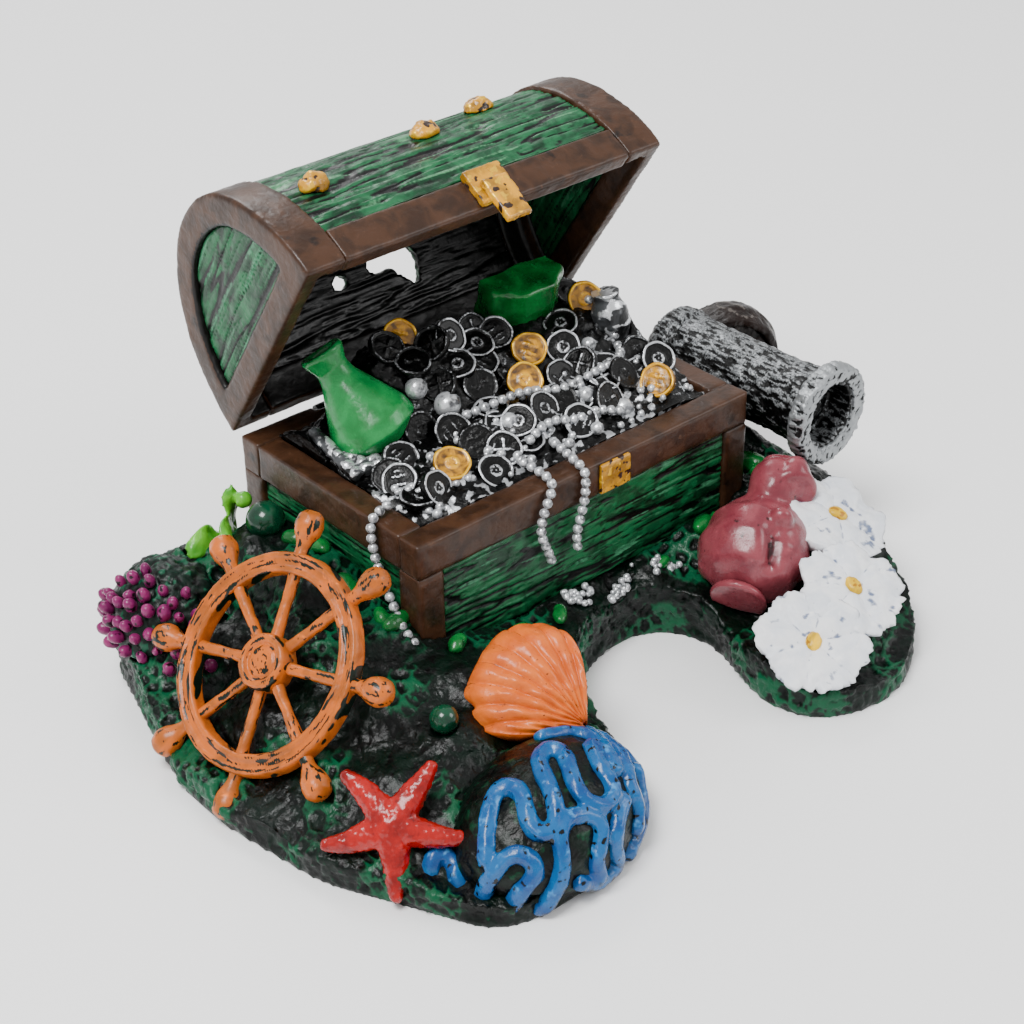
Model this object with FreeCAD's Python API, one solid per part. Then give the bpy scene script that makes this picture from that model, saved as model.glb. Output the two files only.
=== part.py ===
"""Bubbling aquarium ornament: a treasure chest with a hinged lid on a rock base, an air line and sea life.

Millimetres, +X along the chest's front, +Y to the rear, +Z up. Shapes are drawn from the chest's front left
corner, with Z = 0 on the surface that the base stands on, and saved with the origin at the middle of the
base's underside.
"""

import FreeCAD, Part
import math
import os

from FreeCAD import Matrix, Placement, Rotation, Vector

# --- driving dimensions ---
ORIGIN = Vector(28.0, 4.0, 0.0)  # the saved origin, from the chest's front left corner
X, Y, Z = Vector(1, 0, 0), Vector(0, 1, 0), Vector(0, 0, 1)

CHEST_W = 70.0
CHEST_D = 45.0
RIM = 33.0
CHEST_FOOT = 11.0
FLOOR_T = 2.0
RAIL_H = 6.0
RAIL_T = 4.5
POST = 5.0
PLANK_T = 2.2
PLANK_INSET = 0.6
PLANK_GAP = 0.15
BOARDS = 4

OPEN_DEG = 56.3  # the lid's angle above closed, as it rests
AJAR_DEG = 3.3  # left when the lid comes down on the pearl strings
LID_GAP = 0.3
LID_BACK = 44.6
LID_SIDE = 0.7
# the dome's outline: distance from the lid's back edge, and height above its mouth
LID_PROFILE = (
    (0, 0), (1.2, 7), (3.9, 13.6), (10, 21.0), (22, 26.2), (34.3, 23.2), (41.6, 13.4), (43.9, 6.4), (44.3, 0),
)  # fmt: skip
LID_HALF = 22.15
LID_TOP = 26.2
BORDER = 5.0
FRAME_T = 3.0
HOOP_X = 7.2
HOOP_T = 2.4
LID_PLANK_T = 1.8
LID_PLANK_INSET = 0.5
LID_RAIL_H = 6.0
LID_RAIL_T = 3.2

HINGE_Y = 45.3
HINGE_Z = RIM - 1.7
PIN_R = 0.5
PIN_CLEAR = 0.05
KNUCKLE_R = 1.25
# along X: chest, lid, chest, lid, chest
KNUCKLES = ((15.0, 20.0), (20.3, 31.7), (32.0, 38.0), (38.3, 49.7), (50.0, 55.0))
MORTISE = (14.0, 43.6, 29.4, 56.0, 46.0, RIM)

TREASURE_CLEAR = 0.5
TREASURE_REACH = 40.0  # radius about the hinge that the lid's front rail never enters

RELIEF_GRID = 5.0
SPOT_BLEND = 1.5  # how far a spot height stays level around itself


# --- helpers ---
def box(x0, y0, z0, x1, y1, z1):
    return Part.makeBox(x1 - x0, y1 - y0, z1 - z0, Vector(x0, y0, z0))


def rod(start, end, radius):
    return Part.makeCylinder(radius, (end - start).Length, start, end - start)


def ball(centre, radius):
    return Part.makeSphere(radius, centre)


def egg(centre, rx, ry, rz, turn=Rotation()):
    """An ellipsoid."""
    scaled = Part.makeSphere(1.0).transformGeometry(Matrix(rx, 0, 0, 0, 0, ry, 0, 0, 0, 0, rz, 0, 0, 0, 0, 1))
    scaled.Placement = Placement(centre, turn)
    return scaled


def facing(point, direction, roll=0.0):
    """The placement that stands a shape drawn about +Z at point, looking along direction."""
    return Placement(point, Rotation(Z, direction) * Rotation(Z, roll))


def turned(outline, start, end):
    """A solid of revolution: outline is (radius, distance from start) pairs, closed on the axis."""
    wire = Part.makePolygon([Vector(r, 0, z) for r, z in outline] + [Vector(outline[0][0], 0, outline[0][1])])
    solid = Part.Face(wire).revolve(Vector(), Z, 360)
    solid.Placement = facing(start, end - start)
    return solid


def smooth_loop(points):
    curve = Part.BSplineCurve()
    curve.interpolate([Vector(x, y, 0) for x, y in points], PeriodicFlag=True)
    return Part.Wire(curve.toShape())


def slab(points, thickness):
    """A plate with a smooth closed outline, from Z = 0 up."""
    return Part.Face(smooth_loop(points)).extrude(Z * thickness)


def petals_outline(lobes, inner, outer, turn=0.0):
    """A wavy round outline with its points at the lobes and between them."""
    points = []
    for k in range(2 * lobes):
        radius = inner if k % 2 else outer
        angle = turn + math.pi * k / lobes
        points.append((radius * math.cos(angle), radius * math.sin(angle)))
    return points


def join(shapes):
    first = shapes[0]
    return first.multiFuse(shapes[1:]).removeSplitter() if len(shapes) > 1 else first


def height_at(x, y, spots):
    """The height at a place, from spot heights (x, y, height) weighted by nearness."""
    total = weights = 0.0
    for sx, sy, sz in spots:
        weight = 1.0 / ((x - sx) ** 2 + (y - sy) ** 2 + SPOT_BLEND**2) ** 2
        total += weight * sz
        weights += weight
    return total / weights


def relief(spots, x0, y0, x1, y1, depth):
    """Everything under a smooth surface through the spot heights, down by depth."""
    columns = max(4, round((x1 - x0) / RELIEF_GRID))
    rows = max(4, round((y1 - y0) / RELIEF_GRID))
    grid = []
    for i in range(columns + 1):
        x = x0 + (x1 - x0) * i / columns
        ys = [y0 + (y1 - y0) * j / rows for j in range(rows + 1)]
        grid.append([Vector(x, y, height_at(x, y, spots)) for y in ys])
    surface = Part.BSplineSurface()
    surface.interpolate(grid)
    return surface.toShape().extrude(Z * -depth)


# --- rock base ---
BASE_OUTLINE = (
    (-28, 43), (-30, 36), (-33, 26), (-36, 14), (-36.5, 2), (-35, -8), (-33, -18), (-28.7, -27.0),
    (-25, -34.5), (-21.5, -40.5), (-15, -43.5), (-5, -43.7), (4, -41.7), (10, -37), (14.5, -27),
    (19.5, -15), (25.5, -8), (33, -4.8), (40, -4.5), (45.5, -8), (47.5, -15), (45, -24), (43.5, -31),
    (46, -38.5), (53, -42.5), (62, -42.5), (70.5, -38), (77, -31), (80.5, -21), (83, -9), (87, 5),
    (92.5, 20), (92, 36), (86, 46), (75, 51), (56, 52), (35, 53), (12, 53), (-8, 52.5), (-20, 49.5),
)  # fmt: skip
ROCK_HEIGHTS = (
    (-37, 16, 4), (-38, 2, 4), (-35, -12, 4), (-29, -23, 4.5), (-23, -35, 4), (-17, -44, 3.5),
    (0, -45, 3.5), (13, -38, 3.5), (18, -24, 6), (-30, 8, 6), (-22, 8, 13.5), (-14, 10, 20),
    (-6, 20, 24), (-5, 33, 23), (-5, 5, 19), (-14, -4, 16), (-22, -8, 11.5), (-30, -8, 6.5),
    (-12, 43, 19), (-21, 42, 17), (-30, 38, 8), (-28, 47, 5), (-20, 28, 15), (-29, 22, 7),
    (0, -7, 16.5), (-8, -15, 14), (-17, -17, 12), (-24, -20, 8.5), (-12, -29, 8.5), (2, -25, 9),
    (10, -8, 14.5), (20, -6, 12), (8, -20, 10.5), (-3, -35, 8), (33, -2, 9.5), (40, -2, 9.5),
    (35, 4, 14), (30, 0, 13.5), (45, 0, 12.5), (58, -2, 13.5), (48, -6, 9), (50, -38, 5), (61, -41, 4),
    (50, -29, 7.5), (60, -28, 10.5), (70, -20, 14), (77, -29, 7.5), (72, -37, 4.5), (80, -22, 11),
    (54, -12, 9), (66, -9, 12), (75, -5, 17), (49, -20, 6.5), (80, 8, 19), (80, 24, 19), (81, 36, 17),
    (88, 8, 11), (91, 10, 5), (96, 24, 8), (90, 38, 10), (92, 44, 4), (74, 49, 12), (60, 49, 12),
    (35, 49, 11), (10, 49, 14), (-8, 49, 13), (60, 54, 4), (35, 55, 4), (10, 55, 4), (-12, 54, 4),
    (15, 20, 16), (55, 20, 16), (35, 35, 16),
)  # fmt: skip
AIR_X = 35.0
AIR_Y = 24.0
AIR_Z = 6.0
AIR_REAR = 53.3  # just behind the rock
TUBE_R = 2.0
TUBE_BORE = 1.0
COLLAR_R = 3.6
COLLAR_T = 1.7
NOZZLE_R = 2.2
NOZZLE_L = 6.5


def chest_block():
    return box(0, 0, CHEST_FOOT, CHEST_W, CHEST_D, RIM + LID_TOP)


def rock_base():
    prism = slab(BASE_OUTLINE, 40)
    land = relief(ROCK_HEIGHTS, -50, -57, 110, 67, 60)
    return prism.common(land)


def above_ground(shape):
    return shape.common(box(-100, -100, 0, 150, 120, 100))


# --- chest ---
def corner_posts():
    posts = []
    for x in (0, CHEST_W - POST):
        for y in (0, CHEST_D - POST):
            posts.append(box(x, y, CHEST_FOOT, x + POST, y + POST, RIM - RAIL_H))
    return Part.Compound(posts)


def board_levels():
    """The lower and upper edge of each board of a wall."""
    height = (RIM - RAIL_H - CHEST_FOOT) / BOARDS
    edges = [CHEST_FOOT + k * height for k in range(BOARDS + 1)]
    return [(low + PLANK_GAP / 2, high - PLANK_GAP / 2) for low, high in zip(edges, edges[1:])]


def long_planks(y):
    boards = [box(POST, y, low, CHEST_W - POST, y + PLANK_T, high) for low, high in board_levels()]
    return Part.Compound(boards)


def end_planks(x):
    boards = [box(x, POST, low, x + PLANK_T, CHEST_D - POST, high) for low, high in board_levels()]
    return Part.Compound(boards)


def rim_rail_front():
    return box(0, 0, RIM - RAIL_H, CHEST_W, RAIL_T, RIM)


def rim_rail_rear():
    return box(0, CHEST_D - RAIL_T, RIM - RAIL_H, CHEST_W, CHEST_D, RIM).cut(box(*MORTISE))


def rim_rail_side(x):
    return box(x, RAIL_T, RIM - RAIL_H, x + RAIL_T, CHEST_D - RAIL_T, RIM)


def chest_floor(air):
    inset = PLANK_INSET + PLANK_T
    plate = box(inset, inset, CHEST_FOOT, CHEST_W - inset, CHEST_D - inset, CHEST_FOOT + FLOOR_T)
    for x in (0, CHEST_W - POST):
        for y in (0, CHEST_D - POST):
            plate = plate.cut(box(x, y, CHEST_FOOT, x + POST, y + POST, RIM))
    return plate.cut(air)


LOCK_X = 39.5
LOCK_HALF_W = 3.2
LOCK_T = 0.7
LOCK_LOW, LOCK_HIGH = -5.6, -0.4  # from the rim's top


def lock_plate():
    plate = box(LOCK_X - LOCK_HALF_W, -LOCK_T, RIM + LOCK_LOW, LOCK_X + LOCK_HALF_W, 0, RIM + LOCK_HIGH)
    return plate.makeFillet(0.25, [e for e in plate.Edges if e.BoundBox.YMax < -LOCK_T + 0.01])


# --- lid, drawn closed and then turned about the hinge ---
def lid_turn(shape, degrees):
    turned_shape = shape.copy()
    turned_shape.rotate(Vector(0, HINGE_Y, HINGE_Z), X, degrees)
    return turned_shape


def lid_section(inset, x0, x1, floor=0.0):
    """The solid inside the lid's dome, shrunk by inset, from x0 to x1 and above floor."""
    across = 1 - inset / LID_HALF
    upward = 1 - inset / LID_TOP
    points = []
    for along, high in LID_PROFILE:
        y = LID_BACK - LID_HALF - (along - LID_HALF) * across
        points.append(Vector(x0, y, RIM + LID_GAP + high * upward))
    curve = Part.BSplineCurve()
    curve.interpolate(points)
    wire = Part.Wire([curve.toShape(), Part.makeLine(points[-1], points[0])])
    solid = Part.Face(wire).extrude(X * (x1 - x0))
    if floor:
        base = RIM + LID_GAP
        solid = solid.cut(box(x0 - 1, -10, base - 1, x1 + 1, 60, base + floor))
    return solid


def lid_end_frame(outer, inward):
    """A D-shaped border with its hoop, at the end face x = outer; inward is 1 or -1."""
    x0, x1 = sorted((outer, outer + inward * FRAME_T))
    frame = lid_section(0, x0, x1).cut(lid_section(BORDER, x0 - 1, x1 + 1, BORDER))
    h0, h1 = sorted((outer + inward * FRAME_T, outer + inward * HOOP_X))
    hoop = lid_section(0, h0, h1).cut(lid_section(HOOP_T, h0 - 1, h1 + 1))
    return frame.fuse(hoop).removeSplitter()


def lid_end_panel(outer, inward):
    x0, x1 = sorted((outer + inward * 0.9, outer + inward * 2.5))
    return lid_section(BORDER, x0, x1, BORDER)


def lid_shell(inset):
    x0, x1 = HOOP_X - LID_SIDE, CHEST_W + LID_SIDE - HOOP_X
    return lid_section(inset, x0, x1).cut(lid_section(inset + LID_PLANK_T, x0 - 1, x1 + 1))


BROKEN_HOLE = ((-4.9, -1.1), (-3.8, -2.7), (-0.4, -2.1), (0.9, -2.6), (4.5, -1.2), (4.7, 2.6), (4, 4.2), (1.3, 2.3),
               (-0.9, 0.4), (-2.7, 0.6))
CHIPPED_HOLE = ((-1.4, 0), (0, -1.2), (1.3, -0.4), (0.5, 1))
HOLE_RISE = 13


def lid_planks():
    base = RIM + LID_GAP
    shell = lid_shell(LID_PLANK_INSET).cut(box(-5, -10, base - 1, CHEST_W + 5, 60, base + LID_RAIL_H))
    for outline, x in ((BROKEN_HOLE, 39.5), (CHIPPED_HOLE, 28.5)):
        hole = slab(outline, 30)
        hole.Placement = Placement(Vector(x, 33, base + HOLE_RISE), Rotation(X, -70))
        shell = shell.cut(hole)
    return shell


def lid_rail(front):
    base = RIM + LID_GAP
    x0, x1 = HOOP_X - LID_SIDE, CHEST_W + LID_SIDE - HOOP_X
    rail = lid_section(0, x0, x1).cut(lid_section(LID_RAIL_T, x0 - 1, x1 + 1))
    middle = LID_BACK - LID_HALF
    y0, y1 = (-10, middle) if front else (middle, 60)
    return rail.common(box(x0, y0, base, x1, y1, base + LID_RAIL_H))


HASP_X = 36.0
HASP_HALF_W = 3.6
HASP_PROUD = 1.0
TONGUE_HALF_W = 2.4
TONGUE_FRONT = -2.3
TONGUE_LOW, TONGUE_HIGH = -3.8, 4.0  # from the rim's top


def hasp_plate():
    base = RIM + LID_GAP
    plate = box(HASP_X - HASP_HALF_W, -HASP_PROUD, base + 0.4, HASP_X + HASP_HALF_W, 2.5, base + 6.6)
    return plate.cut(lid_section(0, 0, CHEST_W))


def hasp_tongue():
    x0, x1 = HASP_X - TONGUE_HALF_W, HASP_X + TONGUE_HALF_W
    tongue = box(x0, TONGUE_FRONT, RIM + TONGUE_LOW, x1, -HASP_PROUD, RIM + TONGUE_HIGH)
    return tongue.makeFillet(0.4, [e for e in tongue.Edges if e.BoundBox.YMax < TONGUE_FRONT + 0.1])


def lid_lumps():
    """Three barnacle-like lumps on the front of the dome: x, distance from the back and height of each."""
    lumps = []
    for x, along, high in ((12.0, 40.4, 15.5), (37.0, 37.9, 19.2), (50.5, 35.9, 21.4)):
        centre = Vector(x, LID_BACK - along, RIM + LID_GAP + high)
        lumps.append(egg(centre, 2.6, 2.0, 2.0))
    whole = lid_section(LID_PLANK_INSET, 5, CHEST_W - 5)
    return Part.Compound([lump.cut(whole) for lump in lumps])


def knuckle(x0, x1):
    return rod(Vector(x0, HINGE_Y, HINGE_Z), Vector(x1, HINGE_Y, HINGE_Z), KNUCKLE_R)


def pin_hole():
    return rod(Vector(0, HINGE_Y, HINGE_Z), Vector(CHEST_W, HINGE_Y, HINGE_Z), PIN_R + PIN_CLEAR)


def chest_knuckles():
    parts = []
    for x0, x1 in KNUCKLES[0::2]:
        web = box(x0, MORTISE[1], HINGE_Z - KNUCKLE_R, x1, HINGE_Y, HINGE_Z)
        parts.append(knuckle(x0, x1).fuse(web).cut(pin_hole()).removeSplitter())
    return Part.Compound(parts)


def lid_knuckles():
    parts = []
    for x0, x1 in KNUCKLES[1::2]:
        strap = box(x0, HINGE_Y - KNUCKLE_R, HINGE_Z, x1, HINGE_Y + 0.2, RIM + LID_GAP + 5.5)
        strap = strap.cut(lid_section(0, x0 - 1, x1 + 1))
        parts.append(knuckle(x0, x1).fuse(strap).cut(pin_hole()).removeSplitter())
    return Part.Compound(parts)


def hinge_pin():
    head = 0.8
    start, end = KNUCKLES[0][0] - 0.4, KNUCKLES[-1][1] + 0.4
    shaft = rod(Vector(start, HINGE_Y, HINGE_Z), Vector(end, HINGE_Y, HINGE_Z), PIN_R)
    cap = rod(Vector(start - 0.6, HINGE_Y, HINGE_Z), Vector(start, HINGE_Y, HINGE_Z), head)
    return shaft.fuse(cap)


# --- treasure, kept inside the chest and under the closed lid ---
HEAP_HEIGHTS = (
    (5, 5, 31), (20, 5, 32.5), (35, 5, 32.5), (50, 5, 33), (65, 5, 32.5), (5, 20, 33), (18, 18, 36),
    (35, 18, 38), (50, 18, 38), (62, 18, 36), (8, 32, 36), (20, 34, 45), (30, 34, 45), (40, 32, 42),
    (52, 30, 42), (62, 30, 42), (10, 42, 33), (30, 42, 40), (50, 42, 38), (65, 42, 33), (15, 10, 34.5),
    (35, 10, 35.5), (58, 10, 35),
)  # fmt: skip


def treasure_room():
    """The space that the swinging lid leaves free, with the chest's inside below the rim."""
    wall = max(LID_PLANK_T + LID_PLANK_INSET, HOOP_T, LID_RAIL_T) + TREASURE_CLEAR
    end = FRAME_T + TREASURE_CLEAR
    dome = lid_turn(lid_section(wall, end, CHEST_W - end), -AJAR_DEG)
    reach = rod(Vector(0, HINGE_Y, HINGE_Z), Vector(CHEST_W, HINGE_Y, HINGE_Z), TREASURE_REACH)
    side = max(RAIL_T, PLANK_T + PLANK_INSET)
    neck = box(side, side, CHEST_FOOT + FLOOR_T, CHEST_W - side, CHEST_D - side, RIM + 3)
    return dome.common(reach).fuse(neck)


def treasure_heap(room, air):
    heap = relief(HEAP_HEIGHTS, -5, -5, 75, 50, 40)
    return heap.common(room).cut(air)


def coin(x, y, tip, roll, radius=3.0, thick=1.1):
    """A coin on the heap, leaning by tip degrees towards roll."""
    z = height_at(x, y, HEAP_HEIGHTS) + 0.5
    lean = Rotation(Z, roll) * Rotation(Y, tip)
    disc = Part.makeCylinder(radius, thick)
    disc.Placement = Placement(Vector(x, y, z), lean)
    return disc


# x, y, how far it leans and which way
GOLD = (
    (25.5, 35.5, 60, 235), (60, 29, 70, 235), (43.5, 24.5, 40, 240), (38.5, 20, 45, 240), (58, 9, 50, 200),
    (16.5, 12, 30, 250),
)  # fmt: skip
SILVER_ROWS = ((9, 12, 6), (12, 28, 4), (24, 34, 5), (29, 12, 4), (34, 28, 3))  # y, first x, how many
SILVER_PITCH = 7.5


def coins(places, room, *others):
    """Coins that clear the swinging lid, the heap and each other."""
    laid = []
    for place in places:
        laid += clear_of([coin(*place).common(room)], *others, *laid).Solids
    return Part.Compound(laid)


def silver_places():
    """Rows of coins across the heap, each leaning its own way."""
    places = []
    for y, x0, count in SILVER_ROWS:
        for k in range(count):
            lean = 15 + 7 * ((k * 3) % 4)
            towards = 235 + 25 * ((k * 2) % 3 - 1)
            places.append((x0 + k * SILVER_PITCH, y, lean, towards))
    return places


def green_vase():
    outline = (
        (0, 0), (5.2, 0), (7.3, 2.2), (7.0, 4.4), (3.1, 12.6), (2.7, 14.6), (3.7, 17.2), (3.5, 17.9),
        (2.3, 17.6), (1.9, 14.5), (0, 12.5),
    )  # fmt: skip
    return turned(outline, Vector(14.5, 26.5, RIM + 1.0), Vector(9.6, 34.6, RIM + 15.2))


def green_gem():
    """A cut block: an eight-sided prism, leaning back."""
    corners = [math.pi / 8 + k * math.pi / 4 for k in range(8)]
    points = [Vector(6.4 * math.cos(a), 5.4 * math.sin(a), 0) for a in corners]
    block = Part.Face(Part.makePolygon(points + points[:1])).extrude(Z * 10)
    block.Placement = Placement(Vector(50.5, 36.5, RIM + 5.5), Rotation(X, 12))
    return block


def silver_jar():
    outline = ((0, 0), (2.6, 0), (3.4, 2.4), (3.2, 5.0), (2.2, 7.0), (2.5, 8.4), (0, 8.4))
    return turned(outline, Vector(62.6, 24.5, RIM + 3.5), Vector(61.8, 26.0, RIM + 12.0))


def silver_bundle():
    rods = []
    for k in range(3):
        x = 5.2 + 2.3 * k
        rods.append(rod(Vector(x, 21, RIM + 0.9), Vector(x + 0.4, 33, RIM + 3.6), 1.1))
    return Part.Compound(rods)


PEARL_R = 0.65


def string_of_pearls(route):
    """Pearls that touch along straight runs between the route's points."""
    pearls = []
    pitch = 2 * PEARL_R + 0.02
    for start, end in zip(route, route[1:]):
        start, end = Vector(*start), Vector(*end)
        count = max(1, int((end - start).Length / pitch))
        pearls += [ball(start + (end - start) * (k / count), PEARL_R) for k in range(count)]
    return pearls


def front_pearls():
    """Two loops of pearls over the front rim, a strand on the left corner and one across the heap."""
    loops = []
    for x, drop in ((22.0, 12.0), (27.5, 13.0), (31.5, 11.0)):
        loops += string_of_pearls(((x, 3.8, RIM + 0.66), (x, -0.7, RIM + 0.7), (x + 0.8, -0.72, RIM - drop)))
    corner = string_of_pearls(((2, 3.8, RIM + 0.66), (-0.72, 4, RIM + 0.6), (-0.72, 3, RIM - 12)))
    return Part.Compound(loops + corner)


def heap_pearls():
    strand = []
    for x0, y0, x1, y1 in ((27, 19, 40, 15), (40, 15, 50, 13), (63, 26, 57, 15)):
        z0, z1 = height_at(x0, y0, HEAP_HEIGHTS) + 1.6, height_at(x1, y1, HEAP_HEIGHTS) + 1.6
        strand += string_of_pearls(((x0, y0, z0), (x1, y1, z1)))
    return strand


def loose_pearls():
    places = ((21.5, 26.5), (45.5, 13.0), (50.5, 9.5), (61.0, 20.0), (59.5, 33.5), (30.5, 14.5))
    return [ball(Vector(x, y, height_at(x, y, HEAP_HEIGHTS) + 1.0), 1.9) for x, y in places]


# --- air line ---
def air_line(radius, spare=0.0):
    """The air tube's route: in from the rear, then up through the chest's floor, past each end by spare."""
    rear = Vector(AIR_X, AIR_REAR + spare, AIR_Z)
    corner = Vector(AIR_X, AIR_Y, AIR_Z)
    top = Vector(AIR_X, AIR_Y, CHEST_FOOT + FLOOR_T + spare)
    return join([rod(rear, corner, radius), ball(corner, radius), rod(corner, top, radius)])


def air_tube():
    return air_line(TUBE_R).cut(air_line(TUBE_BORE, 1.0))


def air_collar():
    return rod(Vector(AIR_X, AIR_REAR, AIR_Z), Vector(AIR_X, AIR_REAR + COLLAR_T, AIR_Z), COLLAR_R)


def air_inlet_nozzle():
    tip = AIR_REAR + COLLAR_T + NOZZLE_L
    spigot = rod(Vector(AIR_X, AIR_REAR + COLLAR_T, AIR_Z), Vector(AIR_X, tip, AIR_Z), NOZZLE_R)
    bore = rod(Vector(AIR_X, AIR_REAR - 1, AIR_Z), Vector(AIR_X, tip + 1, AIR_Z), TUBE_BORE)
    return air_collar().fuse(spigot).cut(bore).removeSplitter()


def air_stone(margin=0.0):
    foot = Vector(AIR_X, AIR_Y, CHEST_FOOT + FLOOR_T)
    return rod(foot, foot + Z * (7 + margin), 4.0 + margin)


def air_pocket():
    """What is left open for the stone and the bubbles: a pocket and a shaft up through the heap."""
    foot = Vector(AIR_X, AIR_Y, CHEST_FOOT + FLOOR_T)
    return air_stone(0.3).fuse(rod(foot, foot + Z * 40, 1.5))


# --- cannon and keg ---
CANNON_BACK = Vector(80.4, 29.0, 27.0)
CANNON_FRONT = Vector(82.4, -8.0, 27.0)


def cannon_barrel():
    """The bored barrel, with the stub of its left trunnion."""
    outline = (
        (0, 0), (6.2, 0), (7.6, 1.5), (7.6, 4), (6.9, 5), (6.6, 20), (6.2, 33.5), (5.8, 33.5),
        (5.8, 24), (0, 21),
    )  # fmt: skip
    trunnion = rod(Vector(72.0, 9.0, 26.0), Vector(76.0, 9.0, 26.0), 1.6)
    return turned(outline, CANNON_BACK, CANNON_FRONT).fuse(trunnion)


def cannon_muzzle_ring():
    outline = ((5.8, 33.5), (7.4, 33.5), (8.9, 34.6), (8.9, 36.6), (8.2, 37.3), (5.8, 37.0))
    return turned(outline, CANNON_BACK, CANNON_FRONT)


KEG_FRONT = Vector(90.0, 22.0, 22.5)
KEG_BACK = KEG_FRONT + Vector(4.0, 7.0, 0)


def keg_staves(barrel):
    outline = ((7.0, 0), (8.4, 0), (9.3, 4), (8.5, 8), (7.0, 8))
    return turned(outline, KEG_FRONT, KEG_BACK).cut(barrel)


def keg_head(barrel):
    outline = ((0, 1.2), (7.0, 1.2), (7.0, 8), (0, 8))
    return turned(outline, KEG_FRONT, KEG_BACK).cut(barrel)


# --- sea decorations ---
AMPHORA_FOOT = Vector(50.0, -18.0, 9.5)
AMPHORA_MOUTH = Vector(72.5, -6.5, 20.8)


def amphora_body():
    outline = (
        (0, 1.6), (3.6, 1.6), (7.8, 4.2), (9.3, 8.6), (8.4, 13.4), (4.8, 18.6), (3.0, 21.5), (3.0, 25),
        (3.8, 26), (3.8, 27), (3.0, 27.8), (0, 27.8),
    )  # fmt: skip
    return turned(outline, AMPHORA_FOOT, AMPHORA_MOUTH)


def amphora_foot():
    return turned(((0, 0), (4.5, 0), (4.8, 0.6), (4.2, 1.6), (0, 1.6)), AMPHORA_FOOT, AMPHORA_MOUTH)


def amphora_handle():
    ring = Part.makeTorus(3.0, 1.2)
    ring.Placement = Placement(Vector(67.5, -13.0, 21.0), Rotation(Z, -35) * Rotation(X, 90))
    return ring.cut(amphora_body()).Solids[0]


WHEEL_HUB = Vector(-22.0, 8.5, 18.5)
WHEEL_FACE = Vector(-0.752, -0.06, 0.656)
WHEEL_R = 16.6
WHEEL_RIM = 2.9
WHEEL_T = 3.0
HUB_R = 4.2
HUB_PROUD = 0.6
HUB_CAP_R = 2.4
HUB_CAP_T = 1.0
SPOKES = 8
SPOKE_R = 0.9
WHEEL_ROLL = 18.0


def wheel_place(roll=0.0):
    return facing(WHEEL_HUB, WHEEL_FACE, roll)


def wheel_rim():
    """The rim as a ring of felloes, one between each two spokes."""
    felloes = []
    for k in range(SPOKES):
        outer = Part.makeCylinder(WHEEL_R, WHEEL_T, Z * (-WHEEL_T / 2), Z, 360 / SPOKES)
        felloe = outer.cut(Part.makeCylinder(WHEEL_R - WHEEL_RIM, 2 * WHEEL_T, Z * -WHEEL_T))
        felloe.Placement = wheel_place(WHEEL_ROLL + k * 360 / SPOKES)
        felloes.append(felloe)
    return Part.Compound(felloes)


def wheel_hub():
    """The hub with the cap on its outer face."""
    face = WHEEL_T / 2 + HUB_PROUD
    hub = Part.makeCylinder(HUB_R, WHEEL_T + HUB_PROUD, Z * (-WHEEL_T / 2))
    hub = hub.fuse(Part.makeCylinder(HUB_CAP_R, HUB_CAP_T, Z * face))
    hub = hub.removeSplitter()
    hub.Placement = wheel_place()
    return hub


def wheel_spokes():
    spokes = []
    for k in range(SPOKES):
        spoke = Part.makeCylinder(SPOKE_R, WHEEL_R, Vector(0, 0, 0), X)
        spoke = spoke.cut(Part.makeCylinder(HUB_R, 10, Z * -5))
        spoke = spoke.common(Part.makeCylinder(WHEEL_R - WHEEL_RIM, 10, Z * -5))
        spoke.Placement = wheel_place(WHEEL_ROLL + k * 360 / SPOKES)
        spokes.append(spoke)
    return Part.Compound(spokes)


def wheel_handles():
    grips = []
    for k in range(SPOKES):
        outline = ((0, 0), (1.1, 0), (1.0, 2.4), (1.8, 4.6), (1.5, 6.0), (0, 6.6))
        grip = turned(outline, Vector(WHEEL_R - 1.0, 0, 0), Vector(WHEEL_R + 5, 0, 0))
        grip = grip.cut(Part.makeCylinder(WHEEL_R, 10, Z * -5))
        place = wheel_place(WHEEL_ROLL + k * 360 / SPOKES)
        grips.append(grip.transformGeometry(place.toMatrix()))
    return Part.Compound(grips)


def starfish():
    points = [Vector(x, y, 0) for x, y in petals_outline(5, 3.6, 9.3, 0.3)]
    star = Part.Face(Part.makePolygon(points + points[:1])).extrude(Z * 2.4)
    star.Placement = facing(Vector(-23.5, -22.5, 9.2), Vector(-0.55, -0.5, 0.67))
    return star


def scallop_shell():
    """Half an ellipsoid on a fan-shaped outline, hinge end low."""
    dome = egg(Vector(), 9.6, 9.0, 5.2).common(box(-12, -12, 0, 12, 12, 12))
    edge = ((-9.2, 2.5), (-6.4, 6.8), (-2, 9.2), (2, 9.2), (6.4, 6.8), (9.2, 2.5), (7.4, -4.5), (3, -8.8), (-3, -8.8),
            (-7.4, -4.5))
    shell = dome.common(slab(edge, 12))
    shell.Placement = facing(Vector(6.6, -18.6, 13.4), Vector(-0.3, -0.52, 0.8), 15)
    return shell


def blue_coral():
    return egg(Vector(-4.4, -32.8, 4.5), 16.5, 12.0, 10.5, Rotation(Z, 12))


FLOWERS = (
    (Vector(50.5, -33.5, 8.5), Vector(-0.25, -0.35, 0.9)),
    (Vector(62.5, -30.5, 11.8), Vector(-0.1, -0.4, 0.91)),
    (Vector(71.5, -18.5, 15.6), Vector(0.1, -0.4, 0.91)),
)


def flower(place, direction, turn):
    plate = slab(petals_outline(6, 7.8, 9.2, turn), 1.6)
    plate.Placement = facing(place, direction)
    return plate


def flower_centre(place, direction):
    return egg(place + direction * 1.6, 1.5, 1.5, 1.0, Rotation(Z, direction))


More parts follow.
